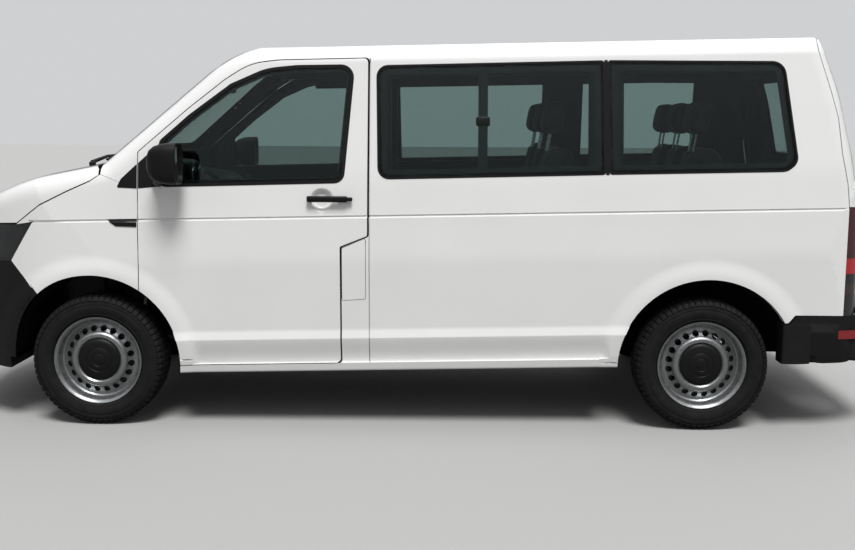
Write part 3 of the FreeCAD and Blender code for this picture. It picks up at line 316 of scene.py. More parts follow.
SECTION = rounded(
    full_width(
        [
            (HALF_WIDTH - 0.035, 0.295, 0.012),
            (HALF_WIDTH - 0.022, 0.352, 0),
            (HALF_WIDTH - 0.004, 0.463, 0.012),
            (HALF_WIDTH - 0.014, 0.505, 0.060),
            (HALF_WIDTH + 0.002, 0.850, 0.900),
            (HALF_WIDTH - 0.006, 1.058, 0),
            (HALF_WIDTH - 0.013, 1.065, 0),
            (HALF_WIDTH - 0.028, 1.241, 1.500),
            (HALF_WIDTH - 0.117, 1.825, 0.092),
            (HALF_WIDTH - 0.162, ROOF_TOP - 0.040, 0.090),
            (0, ROOF_TOP, 7.700),
        ]
    ),
    12,
)
plan_half = [
    (BODY_TAIL, 0, 0),
    (BODY_TAIL, HALF_WIDTH - 0.060, 0.150),
    (BODY_TAIL + 0.260, HALF_WIDTH + 0.012, 2.500),
    (FRONT_AXLE - 0.250, HALF_WIDTH + 0.014, 3.000),
    (NOSE - 0.560, HALF_WIDTH - 0.020, 0.900),
    (NOSE - 0.180, HALF_WIDTH - 0.235, 0.330),
    (NOSE + 0.005, 0.330, 0.900),
    (NOSE + 0.005, 0, 0),
]
PLAN = rounded(plan_half + [(x, -y, r) for x, y, r in reversed(plan_half[1:-1])], 12)
FRONT_FACE = rounded(
    [
        (FRONT_BOW + 0.400, 0.180, 0),
        (NOSE - 0.040, 0.180, 0),
        (NOSE, 0.430, 0.200),
        (NOSE, 0.640, 0.080),
        (NOSE - 0.052, 0.985, 0.060),
        (NOSE - 0.150, 1.082, 0.300),
        (NOSE - 0.480, 1.224, 0.900),
        (NOSE - 0.838, 1.298, 0.060),
        (NOSE - 1.515, 1.880, 0.620),
        (NOSE - 2.200, ROOF_TOP - RAKE * (NOSE - 2.200), 3.000),
        (FRONT_BOW + 0.400, HIGH, 0),
    ],
    12,
)
REAR_FACE = rounded(
    [
        (REAR_BOW - 0.400, 0.180, 0),
        (REAR_BOW - 0.400, HIGH, 0),
        (BODY_TAIL + 1.000, HIGH, 0),
        (BODY_TAIL + 0.228, 1.948, 0.070),
        (BODY_TAIL + 0.122, 1.660, 0.900),
        (BODY_TAIL + 0.052, 1.370, 0.900),
        (BODY_TAIL, 1.080, 0.900),
        (BODY_TAIL, 0.180, 0),
    ],
    12,
)

FLARE_CREST = HALF_WIDTH + FLARE_STAND
FLARE_RING = np.array(
    [
        (ARCH_RADIUS - 0.004, HALF_WIDTH - WALL / 2),
        (ARCH_RADIUS - 0.004, FLARE_CREST),
        (ARCH_RADIUS + FLARE_WIDTH / 2, FLARE_CREST),
        (ARCH_RADIUS + FLARE_WIDTH, FLARE_CREST - 2 * FLARE_STAND),
        (ARCH_RADIUS + FLARE_WIDTH, HALF_WIDTH - WALL / 2),
    ]
)


def depth(points, ring):
    """Signed distance of 2-D points to a closed ring, negative inside, and the way out."""
    near = np.full(len(points), 1e9)
    outward = np.zeros_like(points)
    inside = np.zeros(len(points), bool)
    area = 0.5 * sum(a[0] * b[1] - b[0] * a[1] for a, b in zip(ring, np.roll(ring, -1, axis=0)))
    for a, b in zip(ring, np.roll(ring, -1, axis=0)):
        edge = b - a
        length = math.hypot(*edge)
        if length < 1e-7:
            continue
        normal = np.array((edge[1], -edge[0])) / length * math.copysign(1, area)
        offset = points - a
        share = np.clip(offset @ edge / length**2, 0, 1)
        gap = ((offset - share[:, None] * edge) ** 2).sum(1)
        closer = gap < near
        near[closer] = gap[closer]
        outward[closer] = normal
        if edge[1]:
            crossed = (a[1] > points[:, 1]) != (b[1] > points[:, 1])
            inside ^= crossed & (offset[:, 0] < offset[:, 1] * edge[0] / edge[1])
    return np.where(inside, -1, 1) * np.sqrt(near), outward


def form(p):
    """How far points stand outside the sharp and the blended body, and the latter's direction."""
    x, y, z = p.T
    side = np.where(y < 0, -1.0, 1.0)
    far = np.abs(y)
    d, n = depth(np.stack((far, z + RAKE * x), 1), SECTION)
    faces = [(d, np.stack((n[:, 1] * RAKE, n[:, 0] * side, n[:, 1]), 1), 0.0)]
    d, n = depth(np.stack((x, far), 1), PLAN)
    faces.append((d, np.stack((n[:, 0], n[:, 1] * side, 0 * d), 1), 0.0))
    for centre, ring, sign in ((FRONT_BOW, FRONT_FACE, 1), (REAR_BOW, REAR_FACE, -1)):
        reach = np.maximum(np.hypot(x - centre, y), 1e-9)
        d, n = depth(np.stack((centre + sign * reach, z), 1), ring)
        d = np.where(sign * x > BOW_START, d, -1.0)
        out = n[:, 0] * sign / reach
        faces.append((d, np.stack((out * (x - centre), out * y, n[:, 1]), 1), EDGE_BLEND))
    sharp = np.max([face[0] for face in faces], axis=0)
    for arch, tilt in ARCHES:
        dx, dy = x - arch, far - HALF_WIDTH
        along = HALF_WIDTH + dx * math.sin(tilt) + dy * math.cos(tilt)
        radius = np.hypot(dx * math.cos(tilt) - dy * math.sin(tilt), z - TYRE_RADIUS)
        near = (np.abs(radius - ARCH_RADIUS - FLARE_WIDTH / 2) < FLARE_WIDTH) & (far > HALF_WIDTH - WALL)
        if near.any():
            lip = depth(np.stack((radius[near], along[near]), 1), FLARE_RING)[0]
            sharp[near] = np.minimum(sharp[near], lip)
    value, way, blend = faces[0]
    for d, n, blend in faces[1:]:
        soft = np.maximum(blend * np.clip(1 - (way * n).sum(1), 0, 1), 1e-6)
        share = np.clip(0.5 + 0.5 * (d - value) / soft, 0, 1)
        value = value + (d - value) * share + soft * share * (1 - share)
        way = way + (n - way) * share[:, None]
    return sharp, value, way / np.linalg.norm(way, axis=1)[:, None]


def eased(share):
    share = np.clip(share, 0, 1)
    return share * share * (3 - 2 * share)


def sill_step(p):
    """The share of the sill's tuck at each point: none below the sill's line, all above it."""
    return np.clip((p[:, 2] + RAKE * p[:, 0] - SILL_LINE + 0.001) / 0.002, 0, 1)


def swell(p, step=None):
    """How far the pressings stand out of the plain form: arch lips, belt groove, handle bowls.
    With the sill's step given, its crease and the groove's don't tilt the slopes beside them."""
    x, y, z = p.T
    rise = np.zeros(len(p))
    for arch, tilt in ARCHES:
        radius = np.hypot(x - arch, z - TYRE_RADIUS)
        rise += FLARE_HEIGHT * eased(1.15 - (radius - ARCH_RADIUS) / FLARE_WIDTH) * (z > 0.25)
    level = z + RAKE * x
    if step is None:
        step = sill_step(p)
        groove = eased((GROOVE_HALF - np.abs(level - BELT)) / GROOVE_WALL)
        rise -= GROOVE_DEPTH * groove * (x > GROOVE_REAR) * (x < GROOVE_FRONT)
    tuck = SILL_STAND * (1 - step) - SILL_TUCK * eased((SILL_CREASE - level) / TUCK_HEIGHT) * step
    fade = eased((x - TUCK_REAR) / TUCK_FADE) * eased((TUCK_FRONT - x) / TUCK_FADE)
    rise += tuck * fade * (level < SILL_CREASE)
    for place, sign in HANDLES:
        radius = np.hypot(x - place[0], z - place[1])
        rise -= BOWL_DEPTH * eased((BOWL_RADIUS - radius) / 0.025) * (y * sign > 0)
    return rise * (np.abs(y) > 0.8)


def beside_window(centres):
    """Which points lie in a window's reveal or inside its outline."""
    near = np.zeros(len(centres), bool)
    for rows, axis, sign, reach in WINDOWS:
        place = centres[:, axis] * sign if axis == 0 else np.abs(centres[:, axis])
        flat = np.delete(centres, axis, axis=1)
        near |= (place > reach) & (depth(flat, rounded(rows))[0] < 0.016)
    return near


def shaped(p):
    """Moves points of the plain panels onto the finished form; also its directions and depths."""
    sharp, soft, way = form(p)
    layer = np.zeros(len(p))
    for place in (0.0, -GLASS_DEPTH, -GLASS_DEPTH - GLASS_THICK):
        layer = np.where(np.abs(sharp - place) < 0.0015, sharp - place, layer)
    moved = p - way * (soft - sharp + layer)[:, None]
    side = np.where(p[:, 1] < 0, -1.0, 1.0)
    moved[:, 1] += side * swell(p)
    step = sill_step(p)
    rise = swell(p, step)
    slope_x = (swell(p + (SLOPE_STEP, 0, 0), step) - rise) / SLOPE_STEP
    slope_z = (swell(p + (0, 0, SLOPE_STEP), step) - rise) / SLOPE_STEP
    tilted = way + np.stack((-slope_x, 0 * rise, -slope_z), 1) * np.abs(way[:, 1:2])
    return moved, tilted / np.linalg.norm(tilted, axis=1)[:, None], sharp


def link(name, mesh):
    piece = bpy.data.objects.new(name, mesh)
    bpy.context.scene.collection.objects.link(piece)
    return piece


def cut_at(bm, direction, place):
    """Adds edges where a plane crosses the mesh."""
    direction = Vector(direction)
    centre = direction * (place / direction.length_squared)
    geometry = bm.verts[:] + bm.edges[:] + bm.faces[:]
    bmesh.ops.bisect_plane(bm, geom=geometry, dist=1e-5, plane_co=centre, plane_no=direction)


def sliced(bm, direction, start, end, step):
    """Cuts a mesh by evenly spaced planes, so that it can bend between them."""
    for k in range(math.floor(start / step) + 1, math.ceil(end / step)):
        cut_at(bm, direction, k * step)


def cut_fine(bm, node, grid):
    """Cuts a panel by a grid, and finer at the groove, the sill, the arches and the handle bowls."""
    low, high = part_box(node)
    on_side = max(high.y, -low.y) > 0.9
    sliced(bm, (1, 0, 0), low.x, high.x, grid)
    sliced(bm, (0, 1, 0), low.y, high.y, 2 * grid)
    sliced(bm, (0, 0, 1), low.z, high.z, grid)
    if on_side and low.z < BELT < high.z:
        for edge in (-GROOVE_HALF, GROOVE_WALL - GROOVE_HALF, GROOVE_HALF - GROOVE_WALL, GROOVE_HALF):
            cut_at(bm, (RAKE, 0, 1), BELT + edge)
    if on_side and low.z < 0.4:
        for edge in (-0.001, 0.001):
            cut_at(bm, (RAKE, 0, 1), SILL_LINE + edge)
    for arch, tilt in ARCHES:
        reach = ARCH_RADIUS + FLARE_WIDTH
        if on_side and low.z < 0.8 and low.x < arch + reach and high.x > arch - reach:
            sliced(bm, (1, 0, 0), max(low.x, arch - reach), min(high.x, arch + reach), grid / 2)
            sliced(bm, (0, 0, 1), low.z, TYRE_RADIUS + reach, grid / 2)
    for (x, z), sign in HANDLES:
        if low.x < x < high.x and low.z < z < high.z and max(sign * low.y, sign * high.y) > 0.9:
            sliced(bm, (1, 0, 0), x - BOWL_RADIUS, x + BOWL_RADIUS, grid / 4)
            sliced(bm, (0, 0, 1), z - BOWL_RADIUS, z + BOWL_RADIUS, grid / 4)


def smoothed(mesh, ways):
    """Shades faces along the finished form's directions where they agree with them, else flat.
    Gives each corner's vertex and agreement, and each face's number of corners."""
    corners = np.zeros(len(mesh.loops), np.int32)
    mesh.loops.foreach_get("vertex_index", corners)
    faces = np.zeros(len(mesh.polygons) * 3)
    mesh.polygons.foreach_get("normal", faces)
    counts = np.zeros(len(mesh.polygons), np.int32)
    mesh.polygons.foreach_get("loop_total", counts)
    flat = np.repeat(faces.reshape(-1, 3), counts, axis=0)
    smooth = ways[corners]
    facing = (flat * smooth).sum(1)
    smooth = np.where(facing[:, None] > 0.80, smooth, np.where(facing[:, None] < -0.80, -smooth, flat))
    mesh.shade_smooth()
    mesh.normals_split_custom_set(smooth.tolist())
    return corners, facing, counts


def kinds(corners, facing, counts, moved, depths):
    """Each face's material: 0 outside, 1 in the reveal of a window, 2 on the inner side."""
    starts = np.concatenate(([0], np.cumsum(counts)[:-1]))
    inner = np.add.reduceat(depths[corners], starts) / counts
    centres = np.add.reduceat(moved[corners], starts) / counts[:, None]
    facing_in = np.add.reduceat(facing, starts) / counts < -0.5
    index = np.where(facing_in & (inner < -0.015), 2, 0)
    index = np.where(~facing_in & (inner < -0.006) & beside_window(centres), 1, index)
    return index.astype(np.int32)


def panel(node, materials, name=None, grid=GRID, span=None):
    """A body panel or pane: the node's own mesh, cut fine and moved onto the finished form.
    Its materials are for the outside, and after that for the reveals and for the inner lining.
    A span gives the depths between which the wall is squeezed, and a name adds a second piece."""
    source = frame["nodes"][node]
    bm = bmesh.new()
    bm.from_mesh(source.data)
    bmesh.ops.remove_doubles(bm, verts=bm.verts[:], dist=2e-5)
    cut_fine(bm, node, grid)
    mesh = bpy.data.meshes.new(name or node)
    bm.to_mesh(mesh)
    bm.free()
    places = np.zeros(len(mesh.vertices) * 3)
    mesh.vertices.foreach_get("co", places)
    moved, ways, depths = shaped(places.reshape(-1, 3))
    if span:
        wanted = span[0] + (span[1] - span[0]) * np.clip(-depths / WALL, 0, 1)
        moved -= ways * (wanted + depths)[:, None]
    mesh.vertices.foreach_set("co", moved.ravel())
    mesh.update()
    corners, facing, counts = smoothed(mesh, ways)
    for material in materials:
        mesh.materials.append(material)
    if len(materials) > 1:
        index = kinds(corners, facing, counts, moved, depths)
        mesh.polygons.foreach_set("material_index", index)
    made = link(name or node, mesh)
    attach(made, source["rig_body"])
    if name is None:
        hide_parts(node)
    return made


def solid(top, bottom, faces):
    """A closed thin shell from its outer face and the same face sunk below it."""
    count = len(top)
    edges = {(a, b) for face in faces for a, b in zip(face, face[1:] + face[:1])}
    rim = [[b, a, a + count, b + count] for a, b in edges if (b, a) not in edges]
    under = [[i + count for i in reversed(face)] for face in faces]
    return np.concatenate((top, bottom)), faces + under + rim


def piece(name, shape, material, body, slot, angle=35, node=()):
    """Makes an object of (vertices, faces), smooth below an angle, and gives it its body."""
    mesh = bpy.data.meshes.new(name)
    mesh.from_pydata([tuple(v) for v in shape[0]], [], [list(f) for f in shape[1]])
    bm = bmesh.new()
    bm.from_mesh(mesh)
    bmesh.ops.remove_doubles(bm, verts=bm.verts[:], dist=1e-6)
    bmesh.ops.recalc_face_normals(bm, faces=bm.faces[:])
    bm.to_mesh(mesh)
    bm.free()
    mesh.shade_smooth()
    mesh.set_sharp_from_angle(angle=math.radians(angle))
    mesh.materials.append(material)
    made = link(name, mesh)
    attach(made, body)
    if node:
        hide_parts(*([node] if isinstance(node, str) else node))
    return made


def together(*shapes):
    """Joins several (vertices, faces) shapes into one."""
    vertices, faces, count = [], [], 0
    for points, polygons in shapes:
        vertices.append(np.asarray(points, float))
        faces += [[i + count for i in polygon] for polygon in polygons]
        count += len(points)
    return np.concatenate(vertices), faces


def flipped(shape):
    """The same shape on the other side of the vehicle."""
    return np.asarray(shape[0]) * (1, -1, 1), [list(reversed(f)) for f in shape[1]]


SIDES = (("left", lambda shape: shape), ("right", flipped))


def brick(low, high, radius=0.003, segments=2):
    """A block between two corners with its edges rounded."""
    bm = bmesh.new()
    bmesh.ops.create_cube(bm, size=1)
    low, high = Vector(low), Vector(high)
    for vertex in bm.verts:
        vertex.co = Vector((low[i] + (high[i] - low[i]) * (vertex.co[i] + 0.5) for i in range(3)))
    bmesh.ops.bevel(bm, geom=bm.edges[:], offset=radius, segments=segments, affect="EDGES", profile=0.5)
    shape = ([tuple(v.co) for v in bm.verts], [[v.index for v in f.verts] for f in bm.faces])
    bm.free()
    return shape


def turned_about(shape, centre, axis, degrees):
    turn = Matrix.Translation(centre) @ Matrix.Rotation(math.radians(degrees), 4, axis)
    turn = turn @ Matrix.Translation(-Vector(centre))
    return [turn @ Vector(v) for v in shape[0]], shape[1]


def tube(path, radius, sides=10):
    """A round bar through points, closed at both ends."""
    path = [Vector(p) for p in path]
    radii = radius if isinstance(radius, (list, tuple)) else [radius] * len(path)
    vertices, faces = [], []
    for i, (point, size) in enumerate(zip(path, radii)):
        run = path[min(i + 1, len(path) - 1)] - path[max(i - 1, 0)]
        frame_turn = run.to_track_quat("Z", "Y").to_matrix()
        for k in range(sides):
            turn = 2 * math.pi * k / sides
            vertices.append(point + frame_turn @ Vector((size * math.cos(turn), size * math.sin(turn), 0)))
        if i:
            a, b = (i - 1) * sides, i * sides
            faces += [[a + k, a + (k + 1) % sides, b + (k + 1) % sides, b + k] for k in range(sides)]
    faces += [list(reversed(range(sides))), list(range(len(vertices) - sides, len(vertices)))]
    return vertices, faces


def lathe(profile, centre, steps=96, axis=1):
    """A solid of revolution about a line through centre; the profile is (radius, along)."""
    vertices, faces = [], []
    count = len(profile)
    for k in range(steps):
        turn = 2 * math.pi * k / steps
        for radius, along in profile:
            point = [radius * math.cos(turn), along, radius * math.sin(turn)]
            point = point if axis == 1 else [along, point[0], point[2]]
            vertices.append(Vector(point) + Vector(centre))
        a, b = k * count, (k + 1) % steps * count
        faces += [[a + i, a + (i + 1) % count, b + (i + 1) % count, b + i] for i in range(count)]
    return vertices, faces


# Each side of the body: the axis across it, and places on that axis well inside and outside
SIDE = (1, 0.55, 1.15)
FRONT = (0, 0.30, 2.70)
BACK = (0, -1.50, -2.70)
HALVINGS = 9


def settled(p, face, out=0.0):
    """Slides points along a side's axis until they stand that far outside the finished body."""
    axis, inside, outside = face
    p = np.array(p, float)
    low, high = np.full(len(p), inside), np.full(len(p), outside)
    for step in range(HALVINGS):
        p[:, axis] = (low + high) / 2
        beyond = form(p)[0] > 0
        low, high = np.where(beyond, low, p[:, axis]), np.where(beyond, p[:, axis], high)
    sharp, soft, way = form(p)
    side = np.where(p[:, 1] < 0, -1.0, 1.0)
    rise = swell(p)
    p -= way * (soft - out)[:, None]
    p[:, 1] += side * rise
    return p, way


def patch(rows, face, out, thick, hole=None, grid=0.03):
    """A thin shell on the body's surface, inside an outline or between it and a like hole."""
    axis = face[0]
    bm = bmesh.new()
    loop = [bm.verts.new(p) for p in np.insert(rounded(rows, 6, 8), axis, 0, axis=1)]
    if hole is None:
        bm.faces.new(loop)
        bmesh.ops.remove_doubles(bm, verts=bm.verts[:], dist=1e-6)
        for way in range(3):
            places = [v.co[way] for v in bm.verts]
            if way != axis:
                sliced(bm, Vector([way == i for i in range(3)]), min(places), max(places), grid)
    else:
        edge = [bm.verts.new(p) for p in np.insert(rounded(hole, 6, 8), axis, 0, axis=1)]
        for i in range(len(loop)):
            bm.faces.new((loop[i - 1], loop[i], edge[i], edge[i - 1]))
        bmesh.ops.remove_doubles(bm, verts=bm.verts[:], dist=1e-6)
    bm.verts.index_update()
    places = np.array([tuple(v.co) for v in bm.verts])
    faces = [[v.index for v in f.verts] for f in bm.faces]
    bm.free()
    top, way = settled(places, face, out)
    return solid(top, top - way * thick, faces)


def inward(rows, inset):
    """The outline moved in by inset, each side parallel to itself."""
    area = sum(rows[i - 1][0] * rows[i][1] - rows[i][0] * rows[i - 1][1] for i in range(len(rows)))
    turn = math.copysign(1, area)
    sides = []
    for (u0, v0, r0), (u1, v1, r1) in zip(rows[-1:] + rows[:-1], rows):
        along = Vector((u1 - u0, v1 - v0)).normalized()
        normal = Vector((-along.y, along.x)) * turn
        sides.append((normal, normal.dot((u1, v1)) + inset))
    moved = []
    for i, (u, v, r) in enumerate(rows):
        (a, c), (b, d) = sides[i], sides[(i + 1) % len(rows)]
        det = a.cross(b)
        if abs(det) < 1e-6:
            moved.append((u + a.x * inset, v + a.y * inset, r))
        else:
            moved.append(((c * b.y - d * a.y) / det, (a.x * d - b.x * c) / det, max(r - inset, 0.001)))
    return moved


PAINT_WHITE = (0.86, 0.86, 0.845)
paint = new_material("white_paint", PAINT_WHITE, 0.32, coat_weight=0.8, coat_roughness=0.04)
varied(paint, "Base Color", 3.0, (0.84, 0.84, 0.825), PAINT_WHITE)
bumpy(paint, 900.0, 0.015, 0.0002, 1.0)
rubber = new_material("rubber_seal", (0.006, 0.006, 0.0065), 0.6, specular_ior_level=0.2)
bumpy(rubber, 700.0, 0.1, 0.0002)
# The cabin lining's near-black colour is painted shade of the dim cabin; the real lining is light grey.
shaded_lining = new_material("cabin_lining", (0.016, 0.0165, 0.018), 0.85, sheen_weight=0.1)
varied(shaded_lining, "Base Color", 500.0, (0.012, 0.0125, 0.014), (0.020, 0.0205, 0.022))
bumpy(shaded_lining, 1200.0, 0.3, 0.0004)

# The panels' inner sides take the near-black lining, which is painted shade of the dim cabin.
for node in (
    "side_frame_left",
    "side_frame_right",
    "sliding_door",
    "fuel_flap",
    "roof_panel",
    "wings",
    "bonnet",
    "tailgate",
    "door_left",
    "door_right",
):
    panel(node, (paint, rubber, shaded_lining))

# Panes: toughened glass tinted green in the mass. Each carries a baked black band round its
# inner face, where it is bonded, and the front side panes have an upright sliding frame.
GLASS_TINT = (0.43, 0.535, 0.515)
BAND_WIDTH = 0.040
BAND_THICK = 0.0015
BAND_DEPTH = -GLASS_DEPTH - GLASS_THICK - 0.0008
SLIDER_X = -0.362
SLIDER_HALF = 0.023

glass = new_material("tinted_glass", GLASS_TINT, 0.0, transmission_weight=1.0, ior=1.45)
screen_glass = new_material("screen_glass", (0.58, 0.68, 0.65), 0.0, transmission_weight=1.0, ior=1.45)
black_trim = new_material("black_trim", (0.0065, 0.0065, 0.007), 0.5, specular_ior_level=0.2)
bumpy(black_trim, 1800.0, 0.2, 0.0002, 2.0)
band = new_material("black_band", (0.004, 0.0042, 0.005), 0.35)
bumpy(band, 400.0, 0.05, 0.0002)
for node in ("side_windows", "door_glass_left", "door_glass_right", "tailgate_glass"):
    panel(node, (glass,), grid=0.06)
panel("windscreen", (screen_glass,), grid=0.06)


def banded(rows, face, width=BAND_WIDTH):
    return patch(inward(rows, 0.002), face, BAND_DEPTH, BAND_THICK, inward(rows, width))


front_band = banded(FRONT_WINDOW, SIDE)
rear_band = banded(REAR_WINDOW, SIDE)
slider_rows = [
    (SLIDER_X + SLIDER_HALF, 1.275, 0),
    (SLIDER_X - SLIDER_HALF, 1.275, 0),
    (SLIDER_X - SLIDER_HALF, 1.775, 0),
    (SLIDER_X + SLIDER_HALF, 1.775, 0),
]
slider = patch(slider_rows, SIDE, BAND_DEPTH, 0.012)
left_bands = together(front_band, rear_band, slider, flipped(rear_band))
piece("side_window_bands", left_bands, band, "chassis", "black_trim")
piece("slide_door_window_band", flipped(front_band), band, "chassis", "black_trim")
catch = brick((SLIDER_X - 0.034, 0.846, 1.494), (SLIDER_X + 0.034, 0.866, 1.540), 0.006)
piece("slider_catch", catch, band, "chassis", "black_trim")
piece("screen_band", banded(WIND_SCREEN, FRONT, 0.055), band, "chassis", "black_trim")
piece("tail_window_band", banded(TAIL_WINDOW, BACK, 0.045), band, "tailgate", "black_trim")


def upright(x_front, x_rear, bottom=1.264, top=1.814):
    """A strip's outline that leans with the edges of the side windows."""
    lean = 0.012 / 0.540 * (top - bottom)
    low, high = (x_front, x_rear), (x_front + lean, x_rear + lean)
    return [(low[0], bottom, 0.001), (low[1], bottom, 0.001), (high[1], top, 0.001), (high[0], top, 0.001)]


left_strip = patch(upright(-0.9565, -0.9735), SIDE, 0.0012, 0.004)
right_ends = ((-0.9565, -0.9620), (-0.9680, -0.9735))
right_strips = [patch(upright(*ends), SIDE, 0.0012, 0.004) for ends in right_ends]
piece("window_pillar_strip_left", left_strip, black_trim, "chassis", "black_trim")
piece("window_pillar_strips_right", flipped(together(*right_strips)), black_trim, "chassis", "black_trim")
door_band = banded(DOOR_WINDOW, SIDE, 0.022)
door_rubber = patch(inward(DOOR_WINDOW, -0.012), SIDE, 0.0012, 0.004, inward(DOOR_WINDOW, 0.004))
for side, place in SIDES:
    piece("door_window_band_" + side, place(door_band), band, "door_" + side, "black_trim")
    piece("door_window_rubber_" + side, place(door_rubber), rubber, "door_" + side, "black_trim")
fixed_rubber = [
    patch(inward(rows, -0.007), SIDE, 0.0012, 0.004, inward(rows, 0.003))
    for rows in (FRONT_WINDOW, REAR_WINDOW)
]
window_rubbers = together(*fixed_rubber, flipped(fixed_rubber[1]))
piece("side_window_rubbers", window_rubbers, rubber, "chassis", "black_trim")
piece("slide_door_window_rubber", flipped(fixed_rubber[0]), rubber, "chassis", "black_trim")
screen_rubber = patch(inward(WIND_SCREEN, -0.008), FRONT, 0.0015, 0.005, inward(WIND_SCREEN, 0.006))
piece("screen_rubber", screen_rubber, rubber, "chassis", "black_trim")

# Inside trims and seals: woven linings over the pillars and under the cantrails, light grey in the real
# cabin but coloured near black as painted shade, and a black rubber tube round each door opening, all fixed
# to the body behind the doors.
TRIM_DEPTH = -0.064
SEAL_DEPTH = -0.0625
CANTRAIL_TRIM = [
    (0.640, 1.728, 0.010),
    (-1.960, 1.785, 0.010),
    (-1.960, 1.850, 0.010),
    (0.640, 1.840, 0.010),
]
DOOR_LINE = [
    (0.193, 0.600, 0.030),
    (0.193, 1.816, 0.030),
    (0.630, 1.808, 0.100),
    (0.892, 1.712, 0.100),
    (1.070, 1.572, 0.100),
    (1.315, 1.364, 0.060),
    (1.315, 0.800, 0.060),
    (1.110, 0.600, 0.060),
]
SLIDE_LINE = [(0.187, 0.600, 0.060), (-0.965, 0.600, 0.060), (-0.965, 1.835, 0.030), (0.187, 1.810, 0.030)]
PILLARS = {
    "left": ((0.245, 0.085), (-0.880, -1.050)),
    "right": ((0.245, 0.125), (-0.787, -1.040), (-1.735, -1.930)),
}
for side, place in SIDES:
    uprights = []
    for front, rear in PILLARS[side]:
        rows = [(front, 0.600, 0.01), (rear, 0.600, 0.01), (rear, 1.840, 0.01), (front, 1.840, 0.01)]
        uprights.append(patch(rows, SIDE, TRIM_DEPTH, 0.02, grid=0.08))
    rail = patch(CANTRAIL_TRIM, SIDE, TRIM_DEPTH, 0.018, grid=0.05)
    seal = patch(inward(DOOR_LINE, -0.018), SIDE, SEAL_DEPTH, 0.005, inward(DOOR_LINE, 0.020))
    piece("pillar_trims_" + side, place(together(*uprights)), shaded_lining, "chassis", "dash_plastic")
    piece("cantrail_trim_" + side, place(rail), shaded_lining, "chassis", "dash_plastic")
    piece("door_seal_" + side, place(seal), rubber, "chassis", "black_trim")
slide_seal = patch(inward(SLIDE_LINE, -0.018), SIDE, SEAL_DEPTH, 0.005, inward(SLIDE_LINE, 0.020))
piece("slide_door_seal", flipped(slide_seal), rubber, "chassis", "black_trim")
RAIL_COVER = [
    (-0.985, 1.074, 0.003),
    (-2.030, 1.097, 0.003),
    (-2.030, 1.115, 0.003),
    (-0.985, 1.092, 0.003),
]
rail_cover = flipped(patch(RAIL_COVER, SIDE, 0.004, 0.010))
piece("slide_rail_cover", rail_cover, black_trim, "chassis", "black_trim")

# Corner trims and side repeaters: grained black mouldings clipped on ahead of the door
# windows, over the foot of the windscreen pillar, and in the belt groove of each wing.
DOOR_EDGE = 1.313
pillar_corner = [
    (1.418, 1.190, 0.006),
    (1.396, 1.232, 0.010),
    (DOOR_EDGE + 0.006, 1.3045, 0.002),
    (DOOR_EDGE + 0.006, 1.186, 0.002),
]
door_corner = [
    (DOOR_EDGE - 0.001, 1.309, 0.002),
    (1.238, 1.377, 0),
    (1.1985, 1.413, 0.002),
    (1.1985, 1.197, 0.002),
    (DOOR_EDGE - 0.001, 1.187, 0.002),
]
repeater = [(1.467, 1.0335, 0), (1.421, 1.003, 0.004), (1.320, 1.000, 0.003), (1.320, 1.034, 0.003)]
for side, place in SIDES:
    for name, rows, out, thick, body in (
        ("pillar_corner_", pillar_corner, 0.0018, 0.005, "chassis"),
        ("door_corner_", door_corner, 0.0018, 0.005, "door_" + side),
        ("side_repeater_", repeater, 0.0035, 0.010, "chassis"),
    ):
        piece(name + side, place(patch(rows, SIDE, out, thick)), black_trim, body, "black_trim")

# Door handles: a black pull bar on two feet across a pressed round bowl, with a tapered nose
# over its hinge at the rear end. The sliding door has the same handle.
HANDLE_OUT = 0.036
handles = []
for (x, z), sign in HANDLES:
    face = settled([(x + 0.09, 0, z + 0.02)], SIDE)[0][0][1]
    reach = face + HANDLE_OUT
    bar = brick((x - 0.128, reach - 0.016, z - 0.010), (x + 0.070, reach, z + 0.020), 0.008, 3)
    nose = brick((x - 0.152, reach - 0.018, z - 0.004), (x - 0.118, reach - 0.004, z + 0.014), 0.006, 3)
    feet = [
        brick((x + 0.046, face - 0.004, z - 0.006), (x + 0.070, reach - 0.004, z + 0.016), 0.004),
        brick((x - 0.148, face - 0.004, z - 0.003), (x - 0.080, reach - 0.006, z + 0.013), 0.004),
    ]
    shape = together(bar, nose, *feet)
    handles.append(shape if sign > 0 else flipped(shape))
piece("door_handle_left", handles[0], black_trim, "door_left", "black_trim")
piece("door_handle_right", handles[1], black_trim, "door_right", "black_trim")
piece("slide_door_handle", handles[2], black_trim, "chassis", "black_trim")

# Door mirrors: a rounded black plastic shell on a short arm, open to the rear, where a
# silvered glass sits a little way inside its rim.
MIRROR_X = (1.072, 1.226)
MIRROR_Y = (0.985, 1.146)
MIRROR_Z = (1.216, 1.410)
mirror_glass = new_material("mirror_glass", (0.72, 0.74, 0.75), 0.03, 1.0)
varied(mirror_glass, "Roughness", 40.0, 0.02, 0.05)


